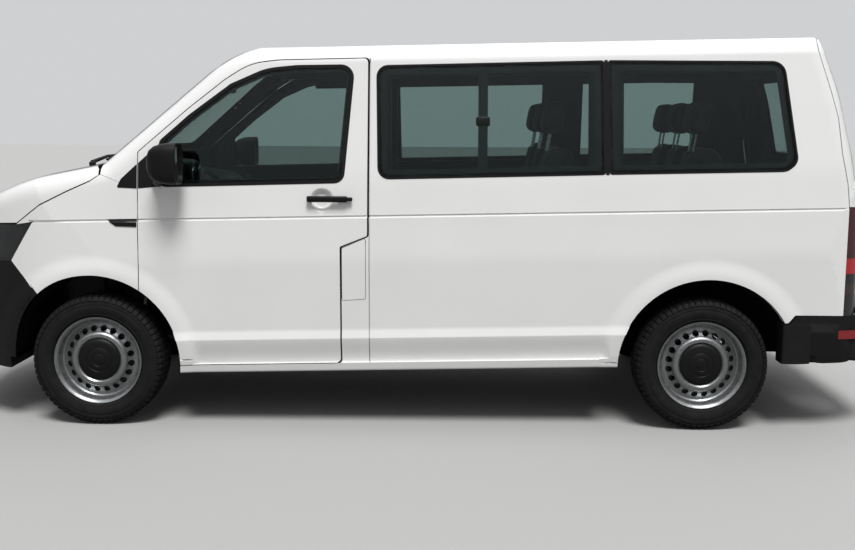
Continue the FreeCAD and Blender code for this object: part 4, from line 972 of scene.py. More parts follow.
def mirror_shape():
    """The left mirror's shell: rounded oblongs that shrink towards the front."""
    middle_y, half_y = sum(MIRROR_Y) / 2, (MIRROR_Y[1] - MIRROR_Y[0]) / 2
    middle_z, half_z = sum(MIRROR_Z) / 2, (MIRROR_Z[1] - MIRROR_Z[0]) / 2
    length = MIRROR_X[1] - MIRROR_X[0]
    vertices, faces = [], []
    stations = [
        (0.10, 0.86),
        (0.02, 0.88),
        (0, 0.95),
        (0.02, 1),
        (0.25, 1),
        (0.5, 0.96),
        (0.72, 0.85),
        (0.88, 0.66),
        (0.97, 0.40),
        (1, 0.12),
    ]
    sides = 40
    for along, size in stations:
        for k in range(sides):
            turn = 2 * math.pi * k / sides
            c, s = math.cos(turn), math.sin(turn)
            u = math.copysign(abs(c) ** 0.5, c) * half_y * size
            v = math.copysign(abs(s) ** 0.5, s) * half_z * size
            vertices.append((MIRROR_X[0] + along * length, middle_y + u - (1 - size) * 0.02, middle_z + v))
    for i in range(len(stations) - 1):
        a, b = i * sides, (i + 1) * sides
        faces += [[a + k, a + (k + 1) % sides, b + (k + 1) % sides, b + k] for k in range(sides)]
    faces += [list(range(sides)), list(reversed(range(len(vertices) - sides, len(vertices))))]
    glass_face = [[v[0] - 0.0015, v[1], v[2]] for v in vertices[:sides]]
    glass_back = [[v[0] + 0.001, v[1], v[2]] for v in vertices[:sides]]
    return (vertices, faces), solid(glass_back, glass_face, [list(range(sides))])


shell, silver = mirror_shape()
ARM_PATH = [(1.212, 0.900, 1.225), (1.214, 0.940, 1.228), (1.200, 0.985, 1.236), (1.172, 1.010, 1.250)]
arm = tube(ARM_PATH, [0.034, 0.026, 0.021, 0.022], 16)
for side, place in SIDES:
    body = "door_" + side
    cover = place(together(shell, arm))
    piece("mirror_shell_" + side, cover, black_trim, body, "black_trim", node="mirror_" + side)
    piece("mirror_glass_" + side, place(silver), mirror_glass, body, "black_trim")


# Bumpers: moulded in grained dark grey plastic, left unpainted and clipped to the body. The
# front one has an air intake with a wire mesh behind its bars, and a flat seat for a blank plate.
def repeat_tree():
    """A node tree that repeats a shape by turning it about a pivot and moving it by a step."""
    tree = bpy.data.node_groups.new("repeated", "GeometryNodeTree")
    socket = tree.interface.new_socket
    socket("Shape", in_out="INPUT", socket_type="NodeSocketGeometry")
    socket("Count", in_out="INPUT", socket_type="NodeSocketInt")
    socket("Turn", in_out="INPUT", socket_type="NodeSocketVector")
    socket("Pivot", in_out="INPUT", socket_type="NodeSocketVector")
    socket("Step", in_out="INPUT", socket_type="NodeSocketVector")
    socket("Finish", in_out="INPUT", socket_type="NodeSocketMaterial")
    socket("Shape", in_out="OUTPUT", socket_type="NodeSocketGeometry")
    given = tree.nodes.new("NodeGroupInput").outputs
    result = tree.nodes.new("NodeGroupOutput").inputs
    whole = tree.nodes.new("GeometryNodeGeometryToInstance")
    copies = tree.nodes.new("GeometryNodeDuplicateElements")
    copies.domain = "INSTANCE"
    turned_by = tree.nodes.new("ShaderNodeVectorMath")
    moved_by = tree.nodes.new("ShaderNodeVectorMath")
    turn = tree.nodes.new("GeometryNodeRotateInstances")
    move = tree.nodes.new("GeometryNodeTranslateInstances")
    real = tree.nodes.new("GeometryNodeRealizeInstances")
    finish = tree.nodes.new("GeometryNodeSetMaterial")
    turn.inputs["Local Space"].default_value = False
    move.inputs["Local Space"].default_value = False
    for node in (turned_by, moved_by):
        node.operation = "SCALE"
    join = tree.links.new
    join(given["Shape"], whole.inputs[0])
    join(whole.outputs[0], copies.inputs["Geometry"])
    join(given["Count"], copies.inputs["Amount"])
    for node, name in ((turned_by, "Turn"), (moved_by, "Step")):
        join(given[name], node.inputs[0])
        join(copies.outputs["Duplicate Index"], node.inputs["Scale"])
    join(copies.outputs["Geometry"], turn.inputs["Instances"])
    join(turned_by.outputs[0], turn.inputs["Rotation"])
    join(given["Pivot"], turn.inputs["Pivot Point"])
    join(turn.outputs[0], move.inputs["Instances"])
    join(moved_by.outputs[0], move.inputs["Translation"])
    join(move.outputs[0], real.inputs[0])
    join(real.outputs[0], finish.inputs["Geometry"])
    join(given["Finish"], finish.inputs["Material"])
    join(finish.outputs[0], result[0])
    return tree


REPEATED = repeat_tree()


def repeated(shape, count, material, turn=(0, 0, 0), pivot=(0, 0, 0), step=(0, 0, 0)):
    """The shape of many copies, each turned and moved on from the one before it."""
    mesh = bpy.data.meshes.new("one")
    mesh.from_pydata([tuple(v) for v in shape[0]], [], [list(f) for f in shape[1]])
    holder = link("holder", mesh)
    modifier = holder.modifiers.new("repeated", "NODES")
    modifier.node_group = REPEATED
    values = {"Count": count, "Turn": turn, "Pivot": pivot, "Step": step, "Finish": material}
    for item in REPEATED.interface.items_tree:
        if item.in_out == "INPUT" and item.name in values:
            modifier[item.identifier] = values[item.name]
    bpy.context.view_layer.update()
    evaluated = holder.evaluated_get(bpy.context.evaluated_depsgraph_get())
    result = bpy.data.meshes.new_from_object(evaluated)
    holder.modifiers.clear()
    made = ([tuple(v.co) for v in result.vertices], [list(f.vertices) for f in result.polygons])
    bpy.data.objects.remove(holder)
    bpy.data.meshes.remove(mesh)
    bpy.data.meshes.remove(result)
    return made


BUMPER_GREY = (0.0095, 0.0095, 0.0098)
bumper_plastic = new_material("bumper_plastic", BUMPER_GREY, 0.55, specular_ior_level=0.2)
varied(bumper_plastic, "Roughness", 12.0, 0.48, 0.62)
bumpy(bumper_plastic, 1500.0, 0.25, 0.0003, 2.0)
plate_white = new_material("plate_white", (0.72, 0.72, 0.70), 0.35, coat_weight=0.3)
bumpy(plate_white, 300.0, 0.02, 0.0002)
panel("front_bumper", (bumper_plastic,))
panel("rear_bumper", (bumper_plastic,))

MESH_X = 2.372
wire = brick((MESH_X, -0.0012, 0.372), (MESH_X + 0.003, 0.0012, 0.524), 0.0006, 1)
wires = repeated((np.array(wire[0]) + (0, -0.488, 0), wire[1]), 62, black_trim, step=(0, 0.016, 0))
cross = brick((MESH_X - 0.002, -0.500, 0.3732), (MESH_X + 0.001, 0.500, 0.3756), 0.0006, 1)
rungs = repeated(cross, 10, black_trim, step=(0, 0, 0.016))
piece("intake_mesh", together(wires, rungs), black_trim, "chassis", "black_trim")
PLATE_X = NOSE - 0.0136
PLATE_HALF = 0.260
PLATE_Z = (0.570, 0.684)
plate_back = brick(
    (PLATE_X, -PLATE_HALF - 0.004, PLATE_Z[0] - 0.003),
    (PLATE_X + 0.005, PLATE_HALF + 0.004, PLATE_Z[1] + 0.003),
    0.002,
)
plate_face = brick(
    (PLATE_X + 0.0045, -PLATE_HALF, PLATE_Z[0]),
    (PLATE_X + 0.0075, PLATE_HALF, PLATE_Z[1]),
    0.001,
)
piece("front_plate_holder", plate_back, black_trim, "chassis", "black_trim")
piece("front_plate", plate_face, plate_white, "chassis", "bumper_plastic")
sensor = lathe([(0, 0.0), (0.011, 0.0), (0.011, 0.0035), (0.009, 0.0045), (0, 0.0045)], (0, 0, 0), 24, 0)
sensors = []
for y, z in ((0.36, 0.60), (-0.36, 0.60), (0.66, 0.60), (-0.66, 0.60)):
    place, way = settled([(0, y, z)], FRONT)
    turn = Vector((1, 0, 0)).rotation_difference(Vector(way[0]))
    sensors.append(([turn @ Vector(v) + Vector(place[0]) for v in sensor[0]], sensor[1]))
piece("bumper_sensors", together(*sensors), black_trim, "chassis", "black_trim")

# Grille and cowl: black plastic. The grille's bars cross a deep opening with close upright
# slats behind them. The cowl under the windscreen has drain slots, and carries two wipers.
panel("cowl", (black_trim,))
panel("grille", (black_trim,))
slat = brick((2.335, -0.0015, 0.828), (2.350, 0.0015, 0.970), 0.0007, 1)
slats = repeated((np.array(slat[0]) + (0, -0.399, 0), slat[1]), 58, black_trim, step=(0, 0.014, 0))
piece("grille_slats", slats, black_trim, "chassis", "black_trim")


def wiper(pivot, tip, blade_start, blade_end, face):
    """A wiper parked on the glass: an arm from its pivot, and a blade in a channel."""
    points = [pivot, tuple(np.array(pivot) * 0.55 + np.array(tip) * 0.45), tip]
    lift = (0.018, 0.030, 0.016)
    arm_path = [settled([(0, y, z)], face, out)[0][0] for (y, z), out in zip(points, lift)]
    steps = np.linspace(0, 1, 9)
    line = [np.array(blade_start) * (1 - s) + np.array(blade_end) * s for s in steps]
    spine = [settled([(0, y, z)], face, 0.011)[0][0] for y, z in line]
    lip = [settled([(0, y, z)], face, 0.004)[0][0] for y, z in line]
    boss, way = settled([(0, *pivot)], face, 0.006)
    turn = Vector((1, 0, 0)).rotation_difference(Vector(way[0]))
    profile = [(0, -0.012), (0.017, -0.012), (0.017, 0.010), (0.012, 0.016), (0, 0.016)]
    knob = lathe(profile, (0, 0, 0), 24, 0)
    knob = ([turn @ Vector(v) + Vector(boss[0]) for v in knob[0]], knob[1])
    wiper_arm = tube(arm_path, [0.011, 0.008, 0.006], 12)
    return together(wiper_arm, tube(spine, 0.005, 8), tube(lip, 0.0035, 6), knob)


wipers = together(
    wiper((0.610, 1.284), (0.360, 1.320), (0.680, 1.308), (0.040, 1.330), FRONT),
    wiper((-0.060, 1.290), (-0.330, 1.330), (0.000, 1.318), (-0.620, 1.312), FRONT),
)
piece("wipers", wipers, black_trim, "chassis", "black_trim")

# Headlamps: a clear polycarbonate lens over a black bezel with two bright bowls and an
# amber indicator, in one sealed case behind the edge of each wing.
lens_clear = new_material("lens_clear", (0.90, 0.92, 0.93), 0.02, transmission_weight=1.0, ior=1.45)
bowl_silver = new_material("bowl_silver", (0.80, 0.80, 0.80), 0.08, 1.0)
varied(bowl_silver, "Roughness", 80.0, 0.06, 0.12)
amber = new_material("lamp_amber", (0.75, 0.22, 0.02), 0.15, coat_weight=1.0)
bumpy(amber, 500.0, 0.2, 0.0005)
lamp_black = new_material("lamp_black", (0.004, 0.005, 0.007), 0.35, specular_ior_level=0.2)
panel("headlamps", (lens_clear,), span=(0.0005, 0.0035))
panel("headlamps", (lamp_black,), name="headlamp_bezels", span=(0.048, 0.058))
BOWLS = ((0.560, 0.905, 0.062), (0.715, 0.915, 0.050))
bowls, bulbs = [], []
for y, z, radius in BOWLS:
    face, way = settled([(0, y, z)], FRONT)
    aim = (Vector(way[0]) * 0.75 + Vector((0.35, 0, 0))).normalized()
    turn = Vector((1, 0, 0)).rotation_difference(aim)
    centre = Vector(face[0]) - Vector(way[0]) * 0.040
    cup = [
        (radius, 0.022),
        (radius - 0.003, 0.024),
        (radius * 0.8, 0.010),
        (radius * 0.5, 0.000),
        (0.006, -0.004),
        (0.0, -0.004),
        (0.0, -0.007),
        (radius * 0.5, -0.004),
        (radius * 0.85, 0.006),
    ]
    bulb = [(0, -0.002), (0.008, -0.002), (0.008, 0.010), (0.006, 0.014), (0, 0.015)]
    for shapes, profile, steps in ((bowls, cup, 48), (bulbs, bulb, 20)):
        shape = lathe(profile, (0, 0, 0), steps, 0)
        shapes.append(([turn @ Vector(v) + centre for v in shape[0]], shape[1]))
INDICATOR = [(0.455, 0.965, 0.006), (0.640, 0.972, 0.006), (0.700, 0.984, 0.006), (0.455, 0.978, 0.006)]
indicator = patch(INDICATOR, FRONT, -0.030, 0.008)
piece("headlamp_bowls", together(*bowls, *map(flipped, bowls)), bowl_silver, "chassis", "lamp_clear")
piece("headlamp_bulbs", together(*bulbs, *map(flipped, bulbs)), lens_clear, "chassis", "lamp_clear")
piece("front_indicators", together(indicator, flipped(indicator)), amber, "chassis", "lamp_clear")

# Tail lamps: upright lenses in bands, dark red at the top, bright red for the brakes, then
# amber and clear ones seen dimly below, all with fine ribs moulded on the inside.
LENS_FOOT, LENS_HEIGHT = 0.55, 0.60
tail_lens = new_material("tail_lens", (0.25, 0.010, 0.012), 0.07, coat_weight=1.0)
tree = tail_lens.node_tree
place = tree.nodes.new("ShaderNodeTexCoord")
split = tree.nodes.new("ShaderNodeSeparateXYZ")
ramp = tree.nodes.new("ShaderNodeValToRGB")
ramp.color_ramp.interpolation = "CONSTANT"
height = tree.nodes.new("ShaderNodeMapRange")
height.inputs["From Min"].default_value = LENS_FOOT
height.inputs["From Max"].default_value = LENS_FOOT + LENS_HEIGHT
BANDS = (
    (0.588, (0.010, 0.008, 0.008)),
    (0.690, (0.030, 0.016, 0.012)),
    (0.742, (0.010, 0.007, 0.007)),
    (0.792, (0.40, 0.010, 0.014)),
    (0.868, (0.040, 0.003, 0.006)),
    (0.905, (0.050, 0.004, 0.009)),
)
ramp.color_ramp.elements[0].color = (*BANDS[0][1], 1)
ramp.color_ramp.elements[1].position = (BANDS[-1][0] - LENS_FOOT) / LENS_HEIGHT
ramp.color_ramp.elements[1].color = (*BANDS[-1][1], 1)
for z, colour in BANDS[1:-1]:
    ramp.color_ramp.elements.new((z - LENS_FOOT) / LENS_HEIGHT).color = (*colour, 1)
tree.links.new(place.outputs["Object"], split.inputs[0])
tree.links.new(split.outputs["Z"], height.inputs["Value"])
tree.links.new(height.outputs["Result"], ramp.inputs["Fac"])
tree.links.new(ramp.outputs["Color"], tree.nodes["Principled BSDF"].inputs["Base Color"])
bumpy(tail_lens, 260.0, 0.10, 0.0005, 0.0, (1, 1, 0.02))
panel("tail_lamps", (tail_lens,))

# Tailgate fittings: a black grip bar over a blank plate, a wiper with its cap, a high brake
# light in the top edge, and two red reflectors let into the bumper.
reflector_red = new_material("reflector_red", (0.22, 0.010, 0.013), 0.12, coat_weight=0.6)
bumpy(reflector_red, 700.0, 0.3, 0.0006, 0.0)
grip_rows = [(-0.230, 0.912, 0.010), (0.230, 0.912, 0.010), (0.230, 0.950, 0.010), (-0.230, 0.950, 0.010)]
piece("tailgate_grip", patch(grip_rows, BACK, 0.020, 0.024), black_trim, "tailgate", "black_trim")
GATE_PLATE_X = BODY_TAIL + 0.0176
gate_holder = brick((GATE_PLATE_X - 0.006, -0.266, 0.764), (GATE_PLATE_X, 0.266, 0.886), 0.002)
gate_plate = brick((GATE_PLATE_X - 0.009, -0.260, 0.768), (GATE_PLATE_X - 0.0055, 0.260, 0.882), 0.001)
piece("rear_plate_holder", gate_holder, black_trim, "tailgate", "black_trim")
piece("rear_plate", gate_plate, plate_white, "tailgate", "bumper_plastic")
gate_wiper = wiper((0.000, 1.262), (-0.200, 1.330), (0.060, 1.322), (-0.400, 1.338), BACK)
piece("rear_wiper", gate_wiper, black_trim, "tailgate", "black_trim")
CORNER_X, CORNER_Y = -1.950, 0.620
bumper = bpy.data.objects["rear_bumper"].data
surface = BVHTree.FromPolygons([v.co for v in bumper.vertices], [list(f.vertices) for f in bumper.polygons])
outer, inner, quads = [], [], []
for k, angle in enumerate(np.radians(np.linspace(117, 160, 18))):
    way = Vector((math.cos(angle), math.sin(angle), 0))
    for z in (0.472, 0.514):
        start = Vector((CORNER_X, CORNER_Y, z)) + way
        hit = surface.ray_cast(start, -way)[0]
        outer.append(hit + way * 0.0025)
        inner.append(hit - way * 0.0025)
    if k:
        quads.append([2 * k - 2, 2 * k - 1, 2 * k + 1, 2 * k])
reflector = solid(np.array(outer), np.array(inner), quads)
piece("rear_reflectors", together(reflector, flipped(reflector)), reflector_red, "chassis", "lamp_red")
END_PLAN = rounded(
    [
        (-1.833, 0.846, 0),
        (-1.833, 0.9465, 0.012),
        (-1.905, 0.9485, 0.030),
        (-1.940, 0.9430, 0.030),
        (-1.972, 0.9350, 0.001),
        (-1.972, 0.846, 0),
    ],
    5,
)
ends = [np.insert(END_PLAN, 2, level, axis=1) for level in (0.543, 0.349)]
bumper_end = solid(*ends, [list(range(len(END_PLAN)))])
bumper_ends = together(bumper_end, flipped(bumper_end))
piece("rear_bumper_ends", bumper_ends, bumper_plastic, "chassis", "bumper_plastic")
brake_rows = [(-0.180, 1.838, 0.006), (0.180, 1.838, 0.006), (0.180, 1.860, 0.006), (-0.180, 1.860, 0.006)]
piece("high_brake_light", patch(brake_rows, BACK, 0.0025, 0.006), reflector_red, "tailgate", "lamp_red")

# Tyres and wheels: black tyres with rows of tread blocks, seated on welded steel wheels in silver
# enamel. Each wheel has a ring of vents, a black cap over its hub and a brake disc behind it.
tyre_rubber = new_material("tyre_rubber", (0.008, 0.008, 0.008), 0.75, specular_ior_level=0.2)
varied(tyre_rubber, "Base Color", 25.0, (0.0065, 0.0065, 0.0066), (0.011, 0.0105, 0.010))
bumpy(tyre_rubber, 600.0, 0.15, 0.0004)
wheel_enamel = new_material("wheel_enamel", (0.31, 0.32, 0.32), 0.28, 0.85)
varied(wheel_enamel, "Roughness", 60.0, 0.26, 0.42)
bumpy(wheel_enamel, 900.0, 0.05, 0.0002)
HALF_TRACK = 0.812
TREAD_COUNT = 64
VENT_COUNT = 20
VENT_CELLS = 8


def tyre_shape(centre):
    """A grooved tyre on the left: a smooth carcass with rows of tread blocks round it."""
    half = [
        (0.2056, 0.070),
        (0.2056, 0.079),
        (0.2200, 0.0815),
        (0.2250, 0.0930),
        (0.2330, 0.0985),
        (0.2360, 0.0975),
        (0.2390, 0.0995),
        (0.2620, 0.1036),
        (0.2760, 0.1034),
        (0.2790, 0.1018),
        (0.2820, 0.1030),
        (0.2970, 0.0995),
        (0.3090, 0.0925),
        (0.3165, 0.0830),
        (0.3200, 0.0600),
        (0.3205, 0.0000),
    ]
    profile = half + [(r, -y) for r, y in reversed(half[:-1])]
    carcass = lathe(profile, centre, 120)
    blocks = []
    rows = ((0.0, 0.3278, 0.024), (0.030, 0.3276, 0.024), (0.058, 0.3262, 0.022), (0.0835, 0.3215, 0.018))
    for y, high, width in rows:
        for sign in (1, -1) if y else (1,):
            skew = 0.006 if abs(y) < 0.04 else 0
            low = 0.3195 if y < 0.07 else 0.303
            foot = (-0.0128, y * sign - width / 2, low - 0.002)
            block = brick(foot, (0.0128, y * sign + width / 2, high), 0.0014, 1)
            points = [(p[0] + skew * (p[1] - y * sign) / width * 2, p[1], p[2]) for p in block[0]]
            if y > 0.07:
                points = [(p[0], p[1] + sign * (high - p[2]) * 0.55, p[2]) for p in points]
            blocks.append((points, block[1]))
    row = together(*blocks)
    row = ([Vector(p) + Vector(centre) for p in row[0]], row[1])
    tread = repeated(row, TREAD_COUNT, tyre_rubber, turn=(0, 2 * math.pi / TREAD_COUNT, 0), pivot=centre)
    return together(carcass, tread)


def disc_shape(centre):
    """The vented steel disc: a ring grid with its vent cells left open, pressed to depth."""
    rings = [
        (0.060, 0.058),
        (0.100, 0.060),
        (0.106, 0.066),
        (0.114, 0.0735),
        (0.126, 0.0740),
        (0.1340, 0.0700),
        (0.1390, 0.0640),
        (0.1420, 0.0590),
        (0.1470, 0.0540),
        (0.1535, 0.0485),
        (0.1600, 0.0435),
        (0.1655, 0.0400),
        (0.1705, 0.0375),
        (0.1860, 0.0340),
        (0.1955, 0.0400),
    ]
    open_cells = {7: (2, 5), 8: (1, 6), 9: (1, 6), 10: (1, 6), 11: (2, 5)}
    steps = VENT_COUNT * VENT_CELLS
    top, faces = [], []
    for k in range(steps):
        turn = 2 * math.pi * k / steps
        for radius, along in rings:
            across, upward = radius * math.cos(turn), radius * math.sin(turn)
            top.append((centre[0] + across, centre[1] + along, centre[2] + upward))
        cell = k % VENT_CELLS
        for i in range(len(rings) - 1):
            if i in open_cells and open_cells[i][0] <= cell < open_cells[i][1]:
                continue
            a, b = k * len(rings), (k + 1) % steps * len(rings)
            faces.append([a + i, b + i, b + i + 1, a + i + 1])
    bottom = [(x, y - 0.004, z) for x, y, z in top]
    return solid(np.array(top), np.array(bottom), faces)


def rim_shape(centre):
    """The rolled rim: flanges, bead seats and the deep well."""
    profile = [
        (0.1930, 0.030),
        (0.1950, 0.052),
        (0.2000, 0.074),
        (0.2090, 0.0875),
        (0.2185, 0.0918),
        (0.2188, 0.0885),
        (0.2080, 0.0820),
        (0.2048, 0.0700),
        (0.2040, 0.0300),
        (0.1960, 0.0150),
        (0.1960, -0.0300),
        (0.2048, -0.0450),
        (0.2048, -0.0780),
        (0.2188, -0.0885),
        (0.2185, -0.0918),
        (0.2020, -0.0860),
        (0.1965, -0.0700),
        (0.1930, -0.0400),
        (0.1900, -0.0300),
        (0.1900, 0.0150),
    ]
    return lathe(profile, centre, 120)


brake_iron = new_material("brake_iron", (0.030, 0.028, 0.026), 0.5, 0.6)
bumpy(brake_iron, 700.0, 0.2, 0.0003)
cap_plastic = new_material("cap_plastic", (0.0068, 0.0068, 0.0068), 0.45, specular_ior_level=0.2)
bumpy(cap_plastic, 1500.0, 0.15, 0.0002)
CAP = [
    (0, 0.0615),
    (0.1035, 0.0615),
    (0.1045, 0.0665),
    (0.100, 0.0715),
    (0.088, 0.0750),
    (0.062, 0.0785),
    (0.060, 0.0768),
    (0.057, 0.0788),
    (0.034, 0.0800),
    (0.032, 0.0782),
    (0.029, 0.0800),
    (0, 0.0808),
]
for end, x in (("front", FRONT_AXLE), ("rear", REAR_AXLE)):
    centre = (x, HALF_TRACK, TYRE_RADIUS)
    tyre = tyre_shape(centre)
    rim = together(disc_shape(centre), rim_shape(centre))
    cap = lathe(CAP, centre, 64)
    brake = lathe([(0.154, 0.012), (0.182, 0.012), (0.182, 0.024), (0.154, 0.024)], centre, 64)
    for side, place in SIDES:
        label = end + "_" + side
        body = "wheel_" + label
        piece("tyre_tread_" + label, place(tyre), tyre_rubber, body, "tyre_rubber", node="tyre_" + label)
        piece("steel_wheel_" + label, place(rim), wheel_enamel, body, "wheel_silver", node="wheel_" + label)
        piece("wheel_cap_" + label, place(cap), cap_plastic, body, "black_trim")
        piece("brake_disc_" + label, place(brake), brake_iron, body, "hub_steel")

# Seats: foam pads under dark woven cloth, on plain boxed bases. Each pad is blown up a little
# by a short cloth simulation of its cover, and then its sewn channels are pressed in.
FLOOR_TOP = 0.560
PAD_VOXEL = 0.009
PAD_FRAMES = 20
seat_cloth = new_material("seat_cloth", (0.016, 0.017, 0.019), 0.92, sheen_weight=0.15)
varied(seat_cloth, "Base Color", 900.0, (0.010, 0.0105, 0.012), (0.026, 0.027, 0.030), 1.0, (1, 0.25, 1))
bumpy(seat_cloth, 700.0, 0.5, 0.0006, 2.0, (0.3, 1, 1))
seat_plastic = new_material("seat_plastic", (0.011, 0.011, 0.012), 0.6)
bumpy(seat_plastic, 1500.0, 0.2, 0.0003)
bright_steel = new_material("bright_steel", (0.55, 0.56, 0.57), 0.25, 1.0)
varied(bright_steel, "Roughness", 300.0, 0.18, 0.32)


def inflated(low, high, radius, cap):
    """A pad between two corners, swollen by a pressed cloth cover by at most cap."""
    mesh = bpy.data.meshes.new("pad")
    shape = brick(low, high, radius, 4)
    mesh.from_pydata(shape[0], [], shape[1])
    pad = link("pad", mesh)
    remesh = pad.modifiers.new("even", "REMESH")
    remesh.mode = "VOXEL"
    remesh.voxel_size = PAD_VOXEL
    bpy.context.view_layer.update()
    even = bpy.data.meshes.new_from_object(pad.evaluated_get(bpy.context.evaluated_depsgraph_get()))
    pad.modifiers.clear()
    pad.data = even
    rest = np.array([tuple(v.co) for v in even.vertices])
    faces = [list(f.vertices) for f in even.polygons]
    moved = rest
    cloth = pad.modifiers.new("cover", "CLOTH")
    cloth.settings.use_pressure = True
    cloth.settings.uniform_pressure_force = 4.0
    cloth.settings.effector_weights.gravity = 0.0
    cloth.point_cache.frame_start = 1
    cloth.point_cache.frame_end = PAD_FRAMES
    for step in range(1, PAD_FRAMES + 1):
        bpy.context.scene.frame_set(step)
    swollen = pad.evaluated_get(bpy.context.evaluated_depsgraph_get()).to_mesh()
    moved = np.array([tuple(v.co) for v in swollen.vertices])
    pad.modifiers.clear()
    bpy.context.scene.frame_set(1)
    shift = moved - rest
    length = np.maximum(np.linalg.norm(shift, axis=1), 1e-9)
    moved = rest + shift * np.minimum(1, cap / length)[:, None]
    bpy.data.objects.remove(pad)
    bpy.data.meshes.remove(mesh)
    return moved, faces


def channelled(shape, places, axis, out, deep, width=0.016):
    """Presses sewn channels into the side of a pad that faces out, at places on an axis."""
    points = np.array(shape[0])
    top = points[:, out].max()
    share = np.clip(1 - (top - points[:, out]) / 0.05, 0, 1)
    for place in places:
        press = np.clip(1 - np.abs(points[:, axis] - place) / width, 0, 1)
        points[:, out] -= deep * share * press * press * (3 - 2 * press)
    return points, shape[1]


def seat_at(shape, x, y, width, lean=0.0):
    """Puts a pad, made 0.5 wide about its seat's origin, at a seat, leaning back by degrees."""
    lean = math.radians(lean)
    points = np.array(shape[0])
    u, v, w = points.T
    u, w = u * math.cos(lean) - w * math.sin(lean), u * math.sin(lean) + w * math.cos(lean)
    return np.stack((u + x, v * width / 0.5 + y, w + FLOOR_TOP), 1), shape[1]


BACK_LEAN = 10.5
HALF_PAD = 0.222
cushion = inflated((-0.010, -HALF_PAD, 0.266), (0.440, HALF_PAD, 0.330), 0.028, 0.022)
cushion = channelled(cushion, (-0.135, 0.135), 1, 2, 0.009)
cushion = channelled(cushion, (0.330,), 0, 2, 0.007)
backrest = inflated((-0.080, -HALF_PAD, 0.290), (0.024, HALF_PAD, 0.866), 0.040, 0.022)
backrest = channelled(backrest, (-0.135, 0.135), 1, 0, 0.009)
backrest = channelled(backrest, (0.62,), 2, 0, 0.007)
headrest = inflated((-0.012, -0.118, 0.908), (0.088, 0.118, 1.072), 0.036, 0.016)
post = tube([(0.030, 0.052, 0.80), (0.036, 0.052, 0.95)], 0.006, 12)
post = together(post, flipped(post))
base = brick((-0.020, -0.205, 0.001), (0.400, 0.205, 0.246), 0.012)
shield = brick((0.020, 0.196, 0.180), (0.390, 0.238, 0.285), 0.012)
ROWS = (
    ("front", "front_seats", FRONT_AXLE - 1.114, 0.50, (0.390, -0.390)),
    ("second_row", "second_row_seats", REAR_AXLE + 0.866, 0.47, (0.490, 0.0, -0.490)),
    ("third_row", "third_row_seats", REAR_AXLE + 0.106, 0.40, (0.420, 0.0, -0.420)),
)
PADS = {
    "_cushions": (cushion, 0, 0.85),
    "_backs": (backrest, BACK_LEAN, 0.80),
    "_headrests": (headrest, BACK_LEAN, 0.90),
}
for label, node, x, width, places in ROWS:
    for part, (shape, lean, fill) in PADS.items():
        wide = width if part != "_headrests" else 0.5
        row = together(*[seat_at(shape, x, y, wide, lean) for y in places])
        pad = piece(label + part, row, seat_cloth, "chassis", "seat_fabric", 60, node)
    posts = together(*[seat_at(post, x, y, 0.5, BACK_LEAN) for y in places])
    boxes = (base, shield, flipped(shield))
    bases = together(*[seat_at(shape, x, y, width) for y in places for shape in boxes])
    piece(label + "_headrest_posts", posts, bright_steel, "chassis", "seat_fabric", node=node)
    piece(label + "_seat_bases", bases, seat_plastic, "chassis", "dash_plastic", node=node)

# Dashboard and steering wheel: grained dark plastic, with an instrument hood in front of the
# driver, slatted air vents, a blank middle screen and a padded boss on the wheel.
dash_plastic = new_material("dash_plastic", (0.011, 0.0115, 0.013), 0.62)
varied(dash_plastic, "Roughness", 15.0, 0.55, 0.68)
bumpy(dash_plastic, 1400.0, 0.3, 0.0004, 2.0)
screen_black = new_material("screen_black", (0.008, 0.009, 0.010), 0.08, coat_weight=1.0)
HUB = Vector((FRONT_AXLE - 0.559, 0.390, 1.105))
WHEEL_TILT = 50
HOOD_PIVOT = (1.23, 0.39, 1.20)
hood = brick((1.150, 0.220, 1.150), (1.330, 0.560, 1.310), 0.045, 4)
hood = turned_about(hood, HOOD_PIVOT, "Y", -6)
piece("instrument_hood", hood, dash_plastic, "chassis", "dash_plastic")
dials = []
for y in (0.320, 0.460):
    ring = lathe([(0.026, 0), (0.030, 0), (0.030, -0.005), (0.026, -0.005)], (1.1505, y, 1.250), 40, 0)
    dials.append(turned_about(ring, HOOD_PIVOT, "Y", -6))
piece("dial_rings", together(*dials), bright_steel, "chassis", "dash_plastic")
middle = turned_about(brick((1.048, -0.115, 1.055), (1.066, 0.115, 1.178), 0.006), (1.06, 0, 1.12), "Y", -6)
piece("middle_screen", middle, screen_black, "chassis", "dash_plastic")
vane = brick((1.0530, -0.0480, 1.1440), (1.0620, 0.0480, 1.1456), 0.0005, 1)
vents = []
for y, foot in ((0.690, 1.094), (0.170, 1.040), (-0.170, 1.040), (-0.690, 1.094)):
    place = (np.array(vane[0]) + (0.004, y, foot - 1.134), vane[1])
    vents.append(repeated(place, 9, dash_plastic, step=(0, 0, 0.009)))
    vents.append(brick((1.0500, y - 0.056, foot), (1.0660, y - 0.049, foot + 0.092), 0.002))
    vents.append(brick((1.0500, y + 0.049, foot), (1.0660, y + 0.056, foot + 0.092), 0.002))
piece("air_vents", together(*vents), dash_plastic, "chassis", "dash_plastic")
boss_profile = [(0, 0.012), (0.060, 0.012), (0.074, 0.020), (0.070, 0.034), (0.045, 0.044), (0, 0.047)]
boss = lathe(boss_profile, (0, 0, 0), 48, 0)
tilt = math.radians(WHEEL_TILT)
turn = Vector((1, 0, 0)).rotation_difference(Vector((-math.sin(tilt), 0, math.cos(tilt))))
boss = ([turn @ Vector(v) + HUB for v in boss[0]], boss[1])
piece("steering_boss", boss, dash_plastic, "steering_wheel", "dash_plastic")
mirror_back = brick((1.020, -0.120, 1.668), (1.046, 0.120, 1.732), 0.012, 3)
mirror_stalk = tube([(1.044, 0, 1.706), (1.085, 0, 1.722), (1.112, 0, 1.716)], 0.008, 10)
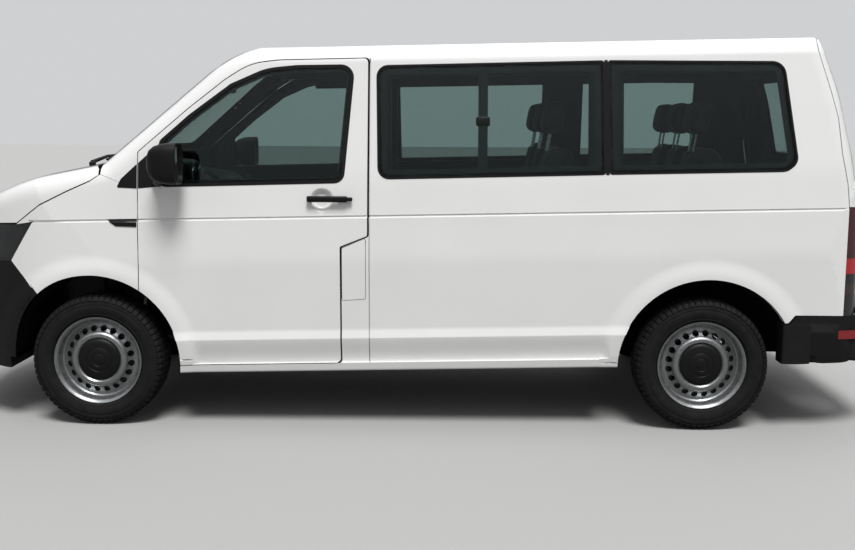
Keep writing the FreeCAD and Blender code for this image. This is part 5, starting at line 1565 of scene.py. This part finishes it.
mirror_front = brick((1.0185, -0.114, 1.674), (1.0215, 0.114, 1.726), 0.001)
piece("inside_mirror", together(mirror_back, mirror_stalk), black_trim, "chassis", "black_trim")
piece("inside_mirror_glass", mirror_front, mirror_glass, "chassis", "black_trim")

# Underside and running gear: pressed steel in black paint, cast hub carriers and engine block,
# a plain steel exhaust, a plastic tank and felt arch liners, all bolted on and kept as solids.
chassis_black = new_material("chassis_black", (0.006, 0.006, 0.0063), 0.55, specular_ior_level=0.2)
varied(chassis_black, "Roughness", 30.0, 0.40, 0.65)
bumpy(chassis_black, 350.0, 0.25, 0.0004)
cast_iron = new_material("cast_iron", (0.035, 0.033, 0.031), 0.7, 0.3)
varied(cast_iron, "Base Color", 40.0, (0.022, 0.019, 0.017), (0.050, 0.047, 0.045))
bumpy(cast_iron, 500.0, 0.4, 0.0006)
cast_metal = new_material("cast_metal", (0.070, 0.070, 0.072), 0.6, 0.5)
bumpy(cast_metal, 400.0, 0.3, 0.0005)
pipe_steel = new_material("pipe_steel", (0.11, 0.10, 0.09), 0.5, 0.8)
varied(pipe_steel, "Base Color", 20.0, (0.075, 0.062, 0.050), (0.14, 0.13, 0.12))
under_coat = new_material("under_coat", (0.010, 0.010, 0.0105), 0.85, specular_ior_level=0.2)
bumpy(under_coat, 250.0, 0.5, 0.0008)
carpet = new_material("carpet", (0.013, 0.013, 0.014), 0.95, sheen_weight=0.1)
bumpy(carpet, 1100.0, 0.6, 0.0012)
felt = new_material("arch_felt", (0.003, 0.003, 0.0032), 0.95, specular_ior_level=0.2)
bumpy(felt, 800.0, 0.5, 0.001)
FINISHES = {
    "arch_liners": felt,
    "front_struts": chassis_black,
    "front_subframe": chassis_black,
    "rear_axle": chassis_black,
    "fuel_tank": bumper_plastic,
    "knuckle_left": cast_iron,
    "knuckle_right": cast_iron,
    "engine": cast_metal,
    "exhaust": pipe_steel,
    "dashboard": dash_plastic,
    "steering_wheel": dash_plastic,
}
for node, material in FINISHES.items():
    frame["nodes"][node].data.materials.clear()
    frame["nodes"][node].data.materials.append(material)
pan = frame["nodes"]["floor_pan"].data
pan.materials.clear()
pan.materials.append(under_coat)
pan.materials.append(carpet)
for face in pan.polygons:
    face.material_index = int(face.normal.z > 0.5 and face.center.z > 0.5)
